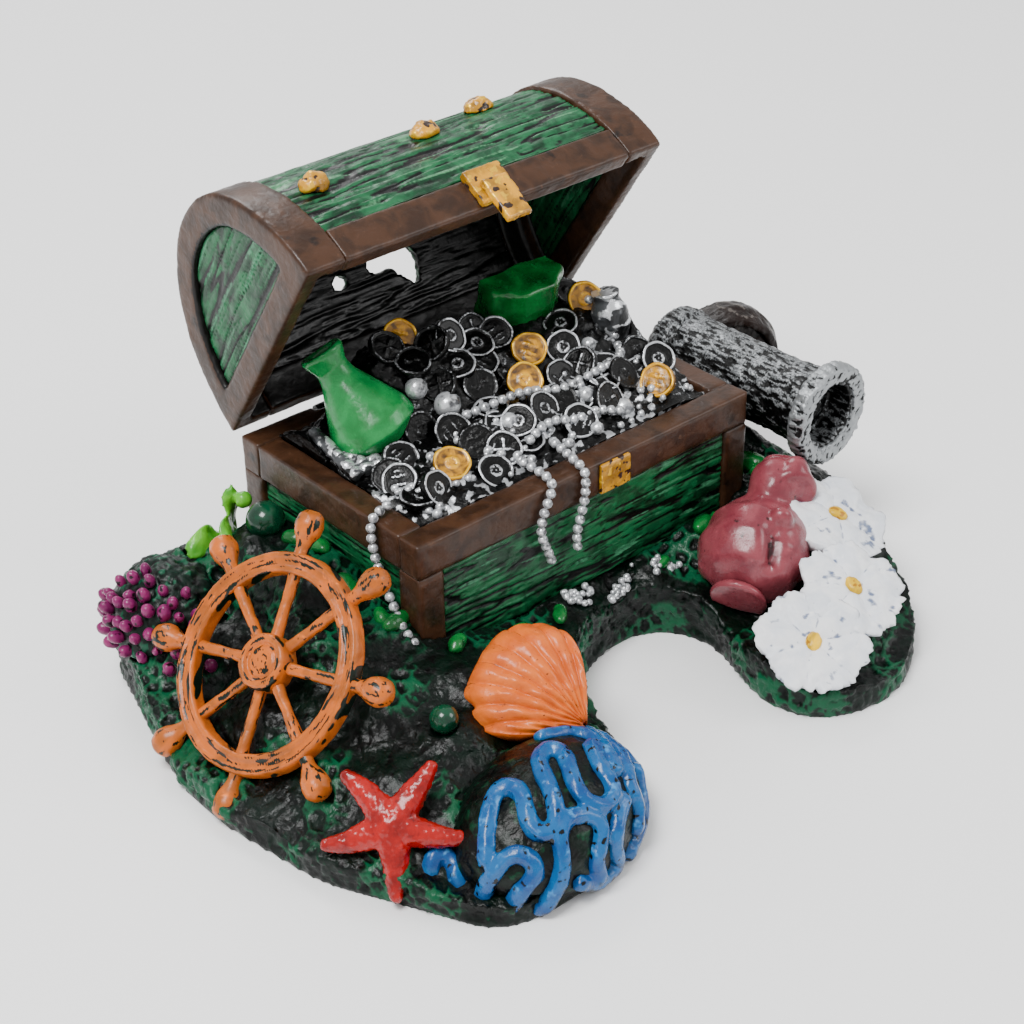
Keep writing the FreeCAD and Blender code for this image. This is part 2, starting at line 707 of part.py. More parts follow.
MOUND = Vector(-20.5, 38.0, 11.0)
MOUND_SIZE = Vector(9.5, 10.5, 9.5)
POLYP_R = 1.4


def polyp_mound():
    return egg(MOUND, MOUND_SIZE.x, MOUND_SIZE.y, MOUND_SIZE.z)


def polyps():
    buds = []
    for ring, (tilt, count) in enumerate(((20, 3), (48, 7), (74, 10))):
        for k in range(count):
            around = 2 * math.pi * (k + 0.5 * (ring % 2)) / count
            up = math.radians(tilt)
            direction = Vector(math.sin(up) * math.cos(around), math.sin(up) * math.sin(around), math.cos(up))
            reach = Vector(direction.x * MOUND_SIZE.x, direction.y * MOUND_SIZE.y, direction.z * MOUND_SIZE.z)
            buds.append(ball(MOUND + reach + direction * 0.6, POLYP_R))
    return buds


def blade(base, tip, width):
    """A fleshy leaf from base to tip."""
    length = (tip - base).Length
    outline = ((0, 0), (0.5 * width, 0), (width, 0.5 * length), (0.3 * width, length), (0, length))
    return turned(outline, base, tip)


def seaweed():
    """A tuft of three blades on top of the polyps' mound."""
    roots = ((-10.5, 43.0, 18.0), (-6.5, 42.5, 18.0), (-4.5, 47.5, 15.5))
    tips = ((-12.0, 41.5, 24.5), (-4.5, 40.5, 26.0), (-2.8, 47.5, 22.5))
    return [blade(Vector(*root), Vector(*tip), 1.6) for root, tip in zip(roots, tips)]


def green_pearls():
    return [ball(Vector(-3.6, 34.5, 23.3), 3.2), ball(Vector(-8.5, -15.5, 15.0), 2.2)]


def leaves():
    """Small leaves on the rock around the chest, each flat out from where it grows."""
    sprouts = []
    places = ((59.0, -2.8, 14.0, 20), (74.5, -3.0, 19.0, 60), (21.0, -5.5, 14.0, -30), (-2.4, -3.2, 18.0, 40))
    for x, y, z, turn in places:
        along = Vector(math.cos(math.radians(turn)), math.sin(math.radians(turn)), 0) * 2.2
        sprouts.append(blade(Vector(x, y, z) - along, Vector(x, y, z) + along, 1.3))
    return sprouts


# --- build ---
def save(name, shape):
    solids = shape.Solids
    if not solids:
        raise ValueError(f"{name} has no solid")
    moved = Part.Compound(solids) if len(solids) > 1 else solids[0].copy()
    moved.translate(ORIGIN * -1)
    moved.exportStep(f"parts/{name}.step")
    b = moved.BoundBox
    print(f"{name:20s} {len(solids):3d} solids {moved.Volume:10.1f} mm3 valid {moved.isValid()}  "
          f"x {b.XMin:.1f} {b.XMax:.1f} y {b.YMin:.1f} {b.YMax:.1f} z {b.ZMin:.1f} {b.ZMax:.1f}")


def clear_of(shapes, *others):
    """The shapes with everything that others fill taken away, the largest piece of each."""
    kept = []
    for shape in shapes:
        for other in others:
            if shape.Solids:
                shape = shape.cut(other)
        if shape.Solids:
            kept.append(max(shape.Solids, key=lambda solid: solid.Volume))
    return Part.Compound(kept)


def main():
    os.makedirs("parts", exist_ok=True)
    air = air_line(TUBE_R)
    plants = Part.Compound(seaweed() + leaves())
    buds = Part.Compound(polyps())
    glass = Part.Compound(green_pearls())
    rock = rock_base().cut(chest_block()).cut(air).cut(plants).cut(buds).cut(glass)

    save("corner_posts", corner_posts())
    save("front_planks", long_planks(PLANK_INSET))
    save("rear_planks", long_planks(CHEST_D - PLANK_INSET - PLANK_T))
    save("left_planks", end_planks(PLANK_INSET))
    save("right_planks", end_planks(CHEST_W - PLANK_INSET - PLANK_T))
    save("rim_rail_front", rim_rail_front())
    save("rim_rail_rear", rim_rail_rear())
    save("rim_rail_left", rim_rail_side(0))
    save("rim_rail_right", rim_rail_side(CHEST_W - RAIL_T))
    save("chest_floor", chest_floor(air))
    save("lock_plate", lock_plate())

    left, right = -LID_SIDE, CHEST_W + LID_SIDE
    closed_lid = {
        "lid_frame_left": lid_end_frame(left, 1),
        "lid_frame_right": lid_end_frame(right, -1),
        "lid_panel_left": lid_end_panel(left, 1),
        "lid_panel_right": lid_end_panel(right, -1),
        "lid_planks": lid_planks(),
        "lid_rail_front": lid_rail(True),
        "lid_rail_rear": lid_rail(False),
        "hasp_plate": hasp_plate(),
        "hasp_tongue": hasp_tongue(),
        "lid_lumps": lid_lumps(),
        "lid_knuckles": lid_knuckles(),
    }
    for name, shape in closed_lid.items():
        save(name, lid_turn(shape, -OPEN_DEG))
    save("chest_knuckles", chest_knuckles())
    save("hinge_pin", hinge_pin())

    room = treasure_room()
    heap = treasure_heap(room, air_pocket())
    vase = green_vase().common(room)
    gem = green_gem().common(room)
    jar = silver_jar().common(room)
    bundle = clear_of(silver_bundle().Solids, vase)
    balls = Part.Compound(loose_pearls())
    heap = heap.cut(vase).cut(gem).cut(jar).cut(bundle).cut(corner_posts()).cut(balls)
    save("treasure_heap", heap)
    save("green_vase", vase)
    save("green_gem", gem)
    save("silver_jar", jar)
    save("silver_bundle", bundle)
    vessels = (vase, gem, jar, bundle, balls)
    gold = coins(GOLD, room, heap, *vessels)
    silver = coins(silver_places(), room, heap, gold, *vessels)
    save("gold_coins", gold)
    save("silver_coins", silver)
    save("front_pearls", front_pearls())
    save("heap_pearls", clear_of([p.common(room) for p in heap_pearls()], heap, gold, silver, *vessels))
    save("loose_pearls", balls)

    save("air_tube", air_tube())
    save("air_inlet_nozzle", air_inlet_nozzle())
    save("air_stone", air_stone())

    barrel = cannon_barrel()
    muzzle = cannon_muzzle_ring()
    amphora = amphora_body()
    handle = amphora_handle()
    foot = amphora_foot()
    coral = above_ground(blue_coral()).cut(rock)
    mound = above_ground(polyp_mound()).cut(rock).cut(plants).cut(buds).cut(glass)
    save("cannon_barrel", barrel.cut(rock))
    save("cannon_muzzle_ring", muzzle.cut(rock))
    save("keg_staves", keg_staves(barrel).cut(rock))
    save("keg_head", keg_head(barrel).cut(rock))
    save("amphora_body", clear_of([amphora], rock, muzzle, barrel))
    save("amphora_foot", clear_of([foot], rock))
    save("amphora_handle", clear_of([handle], rock, muzzle))
    save("wheel_rim", clear_of(wheel_rim().Solids, rock))
    save("wheel_hub", clear_of([wheel_hub()], rock))
    save("wheel_spokes", clear_of(wheel_spokes().Solids, rock))
    save("wheel_handles", clear_of(wheel_handles().Solids, rock))
    save("starfish", clear_of([starfish()], rock))
    shell = clear_of([scallop_shell()], rock)
    save("scallop_shell", shell)
    save("blue_coral", clear_of([coral], shell, starfish()))
    blooms = []
    for number, (place, direction) in enumerate(FLOWERS, start=1):
        bloom = clear_of([flower(place, direction, 0.4 * number)], rock, amphora, handle, foot, *blooms)
        blooms.append(bloom)
        save(f"flower_{number}", bloom)
    save("flower_centres", clear_of([flower_centre(*spot) for spot in FLOWERS], *blooms))
    save("polyp_mound", clear_of([mound]))
    save("polyps", buds)
    save("seaweed", plants)
    save("green_pearls", glass)
    save("rock_base", rock)


main()
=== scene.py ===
"""Looks of the bubbling treasure-chest ornament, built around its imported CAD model.

Shapes are made in millimetres, in the row frame, and turned into metres when a piece is finished.
"""

import math
import random

import bmesh
import bpy
from mathutils import Euler, Matrix, Vector
from mathutils.bvhtree import BVHTree
from mathutils.noise import noise, voronoi


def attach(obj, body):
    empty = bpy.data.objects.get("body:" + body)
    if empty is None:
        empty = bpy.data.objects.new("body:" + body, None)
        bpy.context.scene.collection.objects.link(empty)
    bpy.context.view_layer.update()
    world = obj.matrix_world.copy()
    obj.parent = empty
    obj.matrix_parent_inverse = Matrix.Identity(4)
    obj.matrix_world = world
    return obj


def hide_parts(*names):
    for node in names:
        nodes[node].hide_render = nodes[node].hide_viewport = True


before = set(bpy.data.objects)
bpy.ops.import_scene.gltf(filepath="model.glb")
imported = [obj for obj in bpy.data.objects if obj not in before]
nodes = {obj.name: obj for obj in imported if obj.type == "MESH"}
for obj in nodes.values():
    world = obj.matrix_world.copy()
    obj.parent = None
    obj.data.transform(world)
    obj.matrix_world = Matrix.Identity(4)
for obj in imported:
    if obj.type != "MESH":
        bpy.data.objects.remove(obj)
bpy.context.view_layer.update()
random.seed(11)

MM = 0.001
CHEST = Vector((-28.0, -4.0, 0.0))  # the chest's front left corner, from the row's origin
CHEST_W, RIM = 70.0, 33.0
STILL = Matrix.Identity(4)
OPEN = math.radians(56.3)  # how far the lid stands open at rest
HINGE = CHEST + Vector((0, 45.3, 31.3))

# the camera stands where the photograph was taken from
CAMERA_AT = (-0.185664, -0.210051, 0.203261)
CAMERA_YAW = math.radians(40.5)
CAMERA_PITCH = math.radians(32.347)  # downwards
CAMERA_ROLL = math.radians(-1.034)
CAMERA_LENS = 74.36


# --- small helpers ---
COLOUR_POWER = 2.7  # deeper than a screen's 2.2, since the studio light pales the paints


def rgb(red, green, blue):
    """A colour given as it looks on a screen, 0 to 255, as the shader wants it."""
    return tuple((c / 255) ** COLOUR_POWER for c in (red, green, blue)) + (1.0,)


def at(x, y, z):
    """A point given from the chest's corner, in the row frame."""
    return CHEST + Vector((x, y, z))


def turned(degrees, axis):
    return Matrix.Rotation(math.radians(degrees), 4, axis)


def link(name, mesh):
    piece = bpy.data.objects.new(name, mesh)
    bpy.context.scene.collection.objects.link(piece)
    return piece


def mesh_from(bm):
    mesh = bpy.data.meshes.new("work")
    bm.to_mesh(mesh)
    bm.free()
    return mesh


def cad_copy(*names):
    """The named CAD nodes as one welded mesh, in millimetres."""
    bm = bmesh.new()
    for name in names:
        bm.from_mesh(nodes[name].data)
    bmesh.ops.scale(bm, vec=(1 / MM,) * 3, verts=bm.verts)
    bmesh.ops.remove_doubles(bm, verts=bm.verts, dist=1e-4)
    return mesh_from(bm)


def remeshed(mesh, voxel, soften=0):
    """An even mesh with rounded edges, from one or more closed shapes."""
    piece = link("work", mesh)
    remesh = piece.modifiers.new("remesh", "REMESH")
    remesh.mode = "VOXEL"
    remesh.voxel_size = voxel
    if soften:
        smooth = piece.modifiers.new("smooth", "SMOOTH")
        smooth.iterations = soften
    depsgraph = bpy.context.evaluated_depsgraph_get()
    out = bpy.data.meshes.new_from_object(piece.evaluated_get(depsgraph))
    bpy.data.objects.remove(piece)
    return out


def carve(mesh, relief):
    """Moves each vertex along its normal.

    relief(point, normal) gives the push, and for the paint how deep and how high the vertex then lies; on
    some pieces the first also carries painted shade and the second painted highlight.
    """
    places = [(v.co.copy(), v.normal.copy()) for v in mesh.vertices]
    deep_and_shaded, high = [], []
    for vertex, (point, normal) in zip(mesh.vertices, places):
        push, low, top = relief(point, normal)
        vertex.co = point + normal * push
        deep_and_shaded.append(low)
        high.append(top)
    for name, values in (("deep_and_shaded", deep_and_shaded), ("high", high)):
        layer = mesh.attributes.new(name, "FLOAT", "POINT")
        layer.data.foreach_set("value", values)
    return mesh


def piece_of(name, mesh, material, body, slot, *replaced):
    """Finishes a mesh in millimetres as a piece that rides on body."""
    mesh.transform(Matrix.Scale(MM, 4))
    mesh.materials.clear()
    mesh.materials.append(MATERIALS[material])
    mesh.polygons.foreach_set("use_smooth", [True] * len(mesh.polygons))
    mesh.update()
    mesh.name = name
    piece = link(name, mesh)
    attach(piece, body)
    if replaced:
        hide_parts(*replaced)
    return piece


def surface(*names):
    """Something to drop pieces on, in millimetres."""
    bm = bmesh.new()
    bm.from_mesh(cad_copy(*names))
    tree = BVHTree.FromBMesh(bm)
    bm.free()
    return tree


def drop(tree, x, y, top=120.0):
    """The point and normal straight below (x, y), or None."""
    hit = tree.ray_cast(Vector((x, y, top)), Vector((0, 0, -1)))
    return (hit[0], hit[1]) if hit[0] else None


def facing(point, direction, roll=0.0):
    turn = Vector((0, 0, 1)).rotation_difference(Vector(direction)).to_matrix().to_4x4()
    return Matrix.Translation(Vector(point)) @ turn @ turned(roll, "Z")


def smoothstep(low, high, value):
    t = min(1.0, max(0.0, (value - low) / (high - low)))
    return t * t * (3 - 2 * t)


def band(bm, low, high):
    """Faces between two rings of vertices; one of them may be a single point."""
    count = max(len(low), len(high))
    for k in range(count):
        j = (k + 1) % count
        corners = [low[k % len(low)], low[j % len(low)], high[j % len(high)], high[k % len(high)]]
        bm.faces.new(list(dict.fromkeys(corners)))


def closed(bm):
    bmesh.ops.recalc_face_normals(bm, faces=bm.faces)
    return mesh_from(bm)


def skirted(bm, depth, shrink=1.0):
    """Closes an open sheet with a wall down to depth and a flat underside."""
    edge = [e for e in bm.edges if e.is_boundary]
    for corner in bmesh.ops.extrude_edge_only(bm, edges=edge)["geom"]:
        if isinstance(corner, bmesh.types.BMVert):
            corner.co = (corner.co.x * shrink, corner.co.y * shrink, depth)
    bmesh.ops.holes_fill(bm, edges=[e for e in bm.edges if e.is_boundary])
    return closed(bm)


def paint_layers(bm):
    """The vertex layers that the paint reads: the first takes its edge colour, the second its recess colour,
    which on some pieces is painted shade.
    """
    return bm.verts.layers.float.new("high"), bm.verts.layers.float.new("deep_and_shaded")


def lathe(profile, segments=48):
    """A closed mesh turned about Z; profile is (radius, height) pairs from axis to axis, or a closed ring."""
    bm = bmesh.new()
    rings = []
    for radius, height in profile:
        if radius < 1e-6:
            rings.append([bm.verts.new((0, 0, height))])
            continue
        turn = [2 * math.pi * k / segments for k in range(segments)]
        rings.append([bm.verts.new((radius * math.cos(a), radius * math.sin(a), height)) for a in turn])
    pairs = list(zip(rings, rings[1:]))
    if profile[0][0] > 1e-6:
        pairs.append((rings[-1], rings[0]))
    for low, high in pairs:
        band(bm, low, high)
    return closed(bm)


def merge(meshes):
    """Several (mesh, matrix) pairs as one mesh."""
    bm = bmesh.new()
    for mesh, matrix in meshes:
        copy = mesh.copy()
        copy.transform(matrix)
        bm.from_mesh(copy)
        bpy.data.meshes.remove(copy)
    return mesh_from(bm)


def blob(centre, radii, turn=(0, 0, 0), subdivisions=3):
    bm = bmesh.new()
    bmesh.ops.create_icosphere(bm, subdivisions=subdivisions, radius=1.0)
    place = Matrix.Translation(Vector(centre)) @ Euler([math.radians(a) for a in turn]).to_matrix().to_4x4()
    bm.transform(place @ Matrix.Diagonal(Vector((*radii, 1.0))))
    return mesh_from(bm)


def spline_points(controls, spacing):
    """Evenly spaced points along a smooth curve near the control points."""
    curve = bpy.data.curves.new("route", "CURVE")
    curve.dimensions = "3D"
    spline = curve.splines.new("NURBS")
    spline.points.add(len(controls) - 1)
    for point, control in zip(spline.points, controls):
        point.co = (*control, 1.0)
    spline.order_u = 3
    spline.use_endpoint_u = True
    curve.resolution_u = 12
    route = bpy.data.objects.new("route", curve)
    raw = [v.co.copy() for v in bpy.data.meshes.new_from_object(route).vertices]
    bpy.data.objects.remove(route)
    out, carried = [raw[0]], 0.0
    for start, end in zip(raw, raw[1:]):
        length = (end - start).length
        while length > 1e-9 and carried + length >= spacing:
            start = start + (end - start) * ((spacing - carried) / length)
            length = (end - start).length
            carried = 0.0
            out.append(start.copy())
        carried += length
    return out


# --- materials ---
BROAD, MEDIUM, SPECKLE = 260.0, 700.0, 1900.0  # noise scales, in cycles per metre
BRUSH_RELIEF = 0.0005  # metres


def paint(name, colour, recess_and_shade=(8, 12, 10), edge=None, rough=0.32, mottle=0.25, shade=None, metal=0.0,
          edge_metal=0.0, speck=0.0, bump=0.25, grit=1400.0, coat=0.08, gloss=0.3, ragged=0.9):
    """Brushed-on paint that varies over the surface.

    The recess colour goes in the hollows, and on some pieces it also makes painted shade in creases and on
    undersides; edge is the dry-brushed colour on the heights, and on some pieces also a painted highlight on
    upward faces; shade is its darker patches.
    mottle, speck and ragged say how uneven it is, grit is the noise scale of its grain in cycles per metre.
    """
    material = bpy.data.materials.new(name)
    material.use_nodes = True
    tree = material.node_tree
    shader = tree.nodes["Principled BSDF"]
    def feed(socket, value):
        if isinstance(value, bpy.types.NodeSocket):
            tree.links.new(value, socket)
        else:
            socket.default_value = value

    def shader_node(kind, *inputs):
        node = tree.nodes.new("ShaderNode" + kind)
        for socket, value in inputs:
            feed(node.inputs[socket], value)
        return node

    coords = shader_node("TexCoord").outputs["Object"]

    def cloud(scale, detail=4.0, distortion=0.0):
        node = shader_node("TexNoise", ("Scale", scale), ("Detail", detail), ("Distortion", distortion))
        feed(node.inputs["Vector"], coords)
        return node.outputs["Fac"]

    def mask(source, low, high):
        node = shader_node("MapRange", ("From Min", low), ("From Max", high), ("Value", source))
        node.interpolation_type = "SMOOTHSTEP"
        return node.outputs["Result"]

    def maths(operation, first, second):
        node = shader_node("Math", (0, first), (1, second))
        node.operation = operation
        return node.outputs["Value"]

    def mix(factor, first, second):
        node = shader_node("Mix")
        node.data_type = "RGBA"
        for socket, value in ((0, factor), (6, first), (7, second)):
            feed(node.inputs[socket], value)
        return node.outputs[2]

    def attribute(layer):
        node = shader_node("Attribute")
        node.attribute_name = layer
        return node.outputs["Fac"]

    fine = cloud(grit, 5.0)
    broad = cloud(BROAD, 3.0, 0.6)
    medium = cloud(MEDIUM, 4.0, 0.4)
    base = rgb(*colour)
    darker = shade if shade else tuple(c * (1 - mottle) for c in colour)
    current = mix(mask(broad, 0.35, 0.68), base, rgb(*darker))
    lighter = tuple(min(255, c * 1.12 + 6) for c in colour)
    current = mix(mask(medium, 0.62, 0.8), current, rgb(*lighter))
    # the recess colour fills the hollows; on some pieces it is painted shade in creases and on undersides
    low = attribute("deep_and_shaded")
    uneven = maths("ADD", low, maths("MULTIPLY", maths("SUBTRACT", medium, 0.5), 0.7))
    hollow_and_shade = mask(uneven, 0.3, 0.62)
    current = mix(hollow_and_shade, current, rgb(*recess_and_shade))
    if speck:
        current = mix(mask(cloud(SPECKLE, 2.0), 0.80 - speck, 0.83 - speck), current, rgb(*recess_and_shade))
    # the edge colour is dry-brushed paint, and on some pieces partly a painted highlight on upward faces
    if edge:
        top = maths("ADD", attribute("high"), maths("MULTIPLY", maths("SUBTRACT", fine, 0.5), ragged))
        brushed = mask(top, 0.35, 0.75)
        current = mix(brushed, current, rgb(*edge))
        if edge_metal:
            feed(shader.inputs["Metallic"], maths("MULTIPLY", brushed, edge_metal))
    elif metal:
        feed(shader.inputs["Metallic"], metal)
    least, most = max(0.05, rough - 0.10), rough + 0.16
    satin = shader_node("MapRange", ("Value", medium), ("To Min", least), ("To Max", most))
    height = maths("ADD", maths("MULTIPLY", fine, 0.4), medium)
    relief = shader_node("Bump", ("Strength", bump), ("Distance", BRUSH_RELIEF), ("Height", height))
    for socket, value in (
        ("Base Color", current), ("Roughness", satin.outputs["Result"]), ("Normal", relief.outputs["Normal"]),
        ("Specular IOR Level", gloss), ("Coat Weight", coat), ("Coat Roughness", 0.18),
    ):
        feed(shader.inputs[socket], value)
    return material


BLACK = (9, 11, 10)
MATERIALS = {
    "brown": paint("brown_paint", (86, 62, 46), recess_and_shade=(22, 16, 12), rough=0.36, bump=0.2),
    "green": paint("green_paint", (38, 116, 76), recess_and_shade=BLACK, shade=(16, 70, 46), edge=(80, 142, 108),
        rough=0.36),
    "lid_green": paint("lid_green_paint", (44, 112, 76), recess_and_shade=BLACK, shade=(18, 66, 44),
        edge=(96, 148, 112)),
    "rock": paint("rock_paint", (16, 22, 19), recess_and_shade=(4, 5, 5), edge=(20, 96, 68), shade=(10, 40, 30),
        rough=0.3, bump=0.6, coat=0.05, gloss=0.2, ragged=0.35),
    "mound": paint("mound_paint", (14, 46, 36), recess_and_shade=(5, 8, 7), edge=(30, 92, 70), rough=0.4, bump=0.4,
        gloss=0.2),
    "heap": paint("heap_paint", (14, 14, 14), recess_and_shade=(4, 4, 4), edge=(205, 207, 210), edge_metal=0.7,
        rough=0.3, bump=0.6, grit=2600.0, gloss=0.2),
    "coin": paint("coin_silver", (14, 14, 14), recess_and_shade=(5, 5, 5), edge=(205, 207, 210), edge_metal=0.7,
        rough=0.28, bump=0.4, grit=3000.0, gloss=0.2),
    "silver": paint("silver_paint", (92, 94, 96), recess_and_shade=(8, 8, 8), edge=(228, 230, 232), edge_metal=0.8,
        rough=0.26, mottle=0.6, grit=2200.0),
    # the pearl's recess colour is the painted shade on the beads' undersides
    "pearl": paint("pearl_paint", (140, 142, 146), recess_and_shade=(10, 10, 10), edge=(236, 238, 240),
        edge_metal=0.6, rough=0.2, mottle=0.5, coat=0.4, gloss=0.5),
    "gold": paint("gold_paint", (224, 166, 28), recess_and_shade=(60, 36, 8), edge=(242, 196, 60), edge_metal=0.5,
        rough=0.28, mottle=0.3, coat=0.2, gloss=0.5),
    "cannon": paint("cannon_paint", (18, 18, 18), recess_and_shade=(5, 5, 5), edge=(168, 171, 173), edge_metal=0.7,
        bump=0.6, grit=3200.0, gloss=0.2),
    "keg": paint("keg_paint", (50, 38, 34), recess_and_shade=(7, 7, 7), edge=(104, 98, 94), rough=0.36, bump=0.5,
        gloss=0.2),
    "orange": paint("orange_paint", (204, 116, 46), recess_and_shade=(16, 40, 30), shade=(168, 100, 44),
        mottle=0.2),
    "scallop": paint("scallop_paint", (226, 126, 54), recess_and_shade=(104, 50, 22), edge=(242, 158, 80),
        shade=(208, 108, 44), speck=0.10, rough=0.3),
    "red": paint("red_paint", (178, 34, 30), recess_and_shade=(80, 12, 12), edge=(226, 84, 72), rough=0.22, coat=0.3),
    # on the coral tubes the blue's recess colour is also painted shade underneath, and its edge colour a
    # painted highlight on top
    "blue": paint("blue_paint", (38, 108, 160), recess_and_shade=(8, 14, 18), edge=(90, 156, 208),
        shade=(22, 84, 140), speck=0.03, rough=0.24, coat=0.2),
    # the maroon's recess colour is also the painted shade in the jug's crease
    "maroon": paint("maroon_paint", (150, 82, 90), recess_and_shade=(60, 24, 30), shade=(130, 64, 74), speck=0.04,
        rough=0.26, coat=0.25, bump=0.2),
    # the white's bluish recess colour is painted shade in the flowers' creases and dips
    "white": paint("white_paint", (240, 241, 243), recess_and_shade=(120, 132, 158), shade=(226, 230, 236),
        speck=0.03, rough=0.4, bump=0.3),
    "yellow": paint("yellow_paint", (250, 206, 34), recess_and_shade=(180, 130, 20), rough=0.35),
    "lime": paint("lime_paint", (124, 196, 70), recess_and_shade=(20, 84, 40), shade=(86, 164, 56), rough=0.28,
        coat=0.2),
    "vase": paint("vase_green", (50, 150, 88), recess_and_shade=(8, 50, 28), shade=(34, 128, 70), speck=0.03,
        rough=0.24, coat=0.2, bump=0.15),
    "gem": paint("gem_green", (34, 128, 66), recess_and_shade=(8, 40, 22), shade=(20, 96, 48), rough=0.22, coat=0.3),
    "teal": paint("teal_paint", (14, 88, 62), recess_and_shade=(4, 22, 16), shade=(8, 64, 46), rough=0.14, coat=0.5,
        bump=0.06),
    "magenta": paint("magenta_paint", (146, 54, 110), recess_and_shade=(50, 12, 38), shade=(124, 40, 96), rough=0.3,
        coat=0.2),
    "black": paint("black_paint", (14, 15, 15), recess_and_shade=(4, 4, 4), rough=0.3, bump=0.5, gloss=0.2),
    "tube": paint("clear_tube", (200, 206, 204), recess_and_shade=(120, 126, 124), rough=0.3, mottle=0.1, bump=0.08),
    "stone": paint("air_stone_grey", (124, 138, 150), recess_and_shade=(50, 58, 66), rough=0.8, bump=1.0, grit=2600.0,
        coat=0.0),
    "steel": paint("steel_wire", (170, 170, 172), recess_and_shade=(60, 60, 60), metal=1.0, rough=0.3, bump=0.1),
}


# --- reliefs: (push, deep, high) at a point ---
def grain(direction, depth=0.32, pitch=1.7, inside=None):
    """Board grain: long wavy grooves along direction.

    inside(point, normal) is true on the faces that are painted black.
    """
    along = Vector(direction).normalized()

    def relief(point, normal):
        across = point - along * (point.dot(along) * 0.93)
        wander = Vector((0, 0, 0.5 * noise(point * 0.09)))
        coarse = noise((across + wander) / pitch)
        thin = noise((across + wander) / (0.45 * pitch) + Vector((9, 4, 2)))
        groove = max(math.exp(-((coarse / 0.09) ** 2)), 0.55 * math.exp(-((thin / 0.10) ** 2)))
        patch = 0.35 * smoothstep(0.05, 0.45, noise(point / 6.0 + Vector((3, 3, 3))))
        crest = smoothstep(0.18, 0.42, thin)
        black = 1.0 if inside and inside(point, normal) else 0.0
        push = -depth * groove + 0.10 * noise(point / 3.0)
        return push, max(groove * 0.95, patch, black), 0.0 if black else 0.62 * crest

    return relief


def lid_trim_relief(point, normal):
    """The lid's brown borders: black where they look into the dome."""
    push, low, high = trim_relief(point, normal)
    return (push, 1.0, 0.0) if lid_inside(point, normal) else (push, low, high)


def trim_relief(point, normal):
    """The brown borders: softly uneven, with worn, darker hollows."""
    wave = noise(point / 4.0)
    fine = noise(point / 1.1 + Vector((5, 1, 7)))
    return 0.10 * wave + 0.05 * fine, 0.42 * smoothstep(0.25, 0.6, -wave), 0.0


def lumpy(amount, size, top=0.6):
    """Irregular lumps; their crowns take the dry-brushed paint."""

    def relief(point, normal):
        wave = noise(point / size)
        fine = noise(point / (0.4 * size) + Vector((4, 8, 1)))
        rise = wave + 0.45 * fine
        return amount * rise, smoothstep(0.1, 0.6, -rise), top * smoothstep(0.05, 0.5, rise)

    return relief


def glossy(amount=0.12, size=3.0, deep_size=2.0):
    def relief(point, normal):
        wave = noise(point / size)
        dent = noise(point / deep_size + Vector((7, 7, 2)))
        return amount * wave, 0.4 * smoothstep(0.35, 0.6, dent), 0.0

    return relief


def rock_relief(point, normal):
    """Black rock under a net of small ring-shaped cells, as on old coral."""
    warp = Vector((noise(point / 5), noise(point / 5 + Vector((9, 0, 0))), 0)) * 0.9
    near, _ = voronoi((point + warp) / 2.3)
    wall = math.exp(-(((near[1] - near[0]) / 0.26) ** 2))
    patch = smoothstep(-0.12, 0.3, noise(point / 9.0 + Vector((2, 5, 1))))
    broad = noise(point / 7.0)
    fine = noise(point / 0.9)
    flat = smoothstep(0.4, 1.6, point.z)  # the underside stays level
    side = smoothstep(0.7, 0.2, abs(normal.z))
    rough = (0.45 + 0.5 * side) * broad + (0.2 + 0.35 * side) * fine
    push = flat * (0.62 * wall * (0.4 + 0.6 * patch) - 0.4 + rough)
    high = (0.34 + 0.5 * patch) * wall + 0.28 * smoothstep(0.1, 0.5, fine) * (patch + side)
    return push, 0.5 * smoothstep(0.1, 0.5, -fine) + 0.35 * smoothstep(0.5, 0.8, near[0]), high


def strokes(direction, amount=0.12, cover=0.1, size=1.1, full=1.0):
    """Dry-brush strokes of metal paint, drawn out along direction; they gather on faces that turn up, a
    painted highlight.
    """
    along = Vector(direction).normalized()

    def relief(point, normal):
        drawn = point - along * (point.dot(along) * 0.72)
        mark = noise(drawn / size) + 0.5 * noise(drawn / (0.45 * size))
        pit = noise(point / 1.3 + Vector((6, 2, 2)))
        # painted highlight: the faces that turn up take more of the metal colour
        top_highlight = 0.35 * normal.z
        worn = full * smoothstep(cover, cover + 0.8, mark + top_highlight)
        return amount * mark - 0.12 * smoothstep(0.2, 0.6, pit), 0.0, worn

    return relief


# --- chest ---
def weathered(name, node, voxel, relief, material, body, slot, soften=1):
    """Stands in for one CAD node, which it copies with softer edges and a carved surface."""
    mesh = carve(remeshed(cad_copy(node), voxel, soften), relief)
    return piece_of(name, mesh, material, body, slot, node)


def finish(node, material):
    """A CAD shape that is right as it is only gets its paint."""
    mesh = nodes[node].data
    mesh.materials.clear()
    mesh.materials.append(MATERIALS[material])


def chest():
    for wall in ("front", "rear", "left", "right"):
        direction = (1, 0, 0) if wall in ("front", "rear") else (0, 1, 0)
        relief = grain(direction, depth=0.34, pitch=1.5)
        weathered(f"{wall}_boards", f"{wall}_planks", 0.3, relief, "green", "base", "green_paint")
    for side in ("front", "rear", "left", "right"):
        weathered(f"rim_{side}", f"rim_rail_{side}", 0.45, trim_relief, "brown", "base", "brown_paint", 2)
    weathered("posts", "corner_posts", 0.45, trim_relief, "brown", "base", "brown_paint", 2)
    weathered("floor_plate", "chest_floor", 0.6, lumpy(0.1, 3.0), "black", "base", "black_paint")
    weathered("lock", "lock_plate", 0.18, lumpy(0.06, 1.2, 0.7), "gold", "base", "gold_paint")


# --- lid ---
def lid_inside(point, normal):
    """True on the faces that look into the dome."""
    centre = HINGE + Matrix.Rotation(-OPEN, 3, "X") @ Vector((0, -22.9, 12.0))
    outward = Vector((0, point.y - centre.y, point.z - centre.z)).normalized()
    return normal.dot(outward) < -0.35


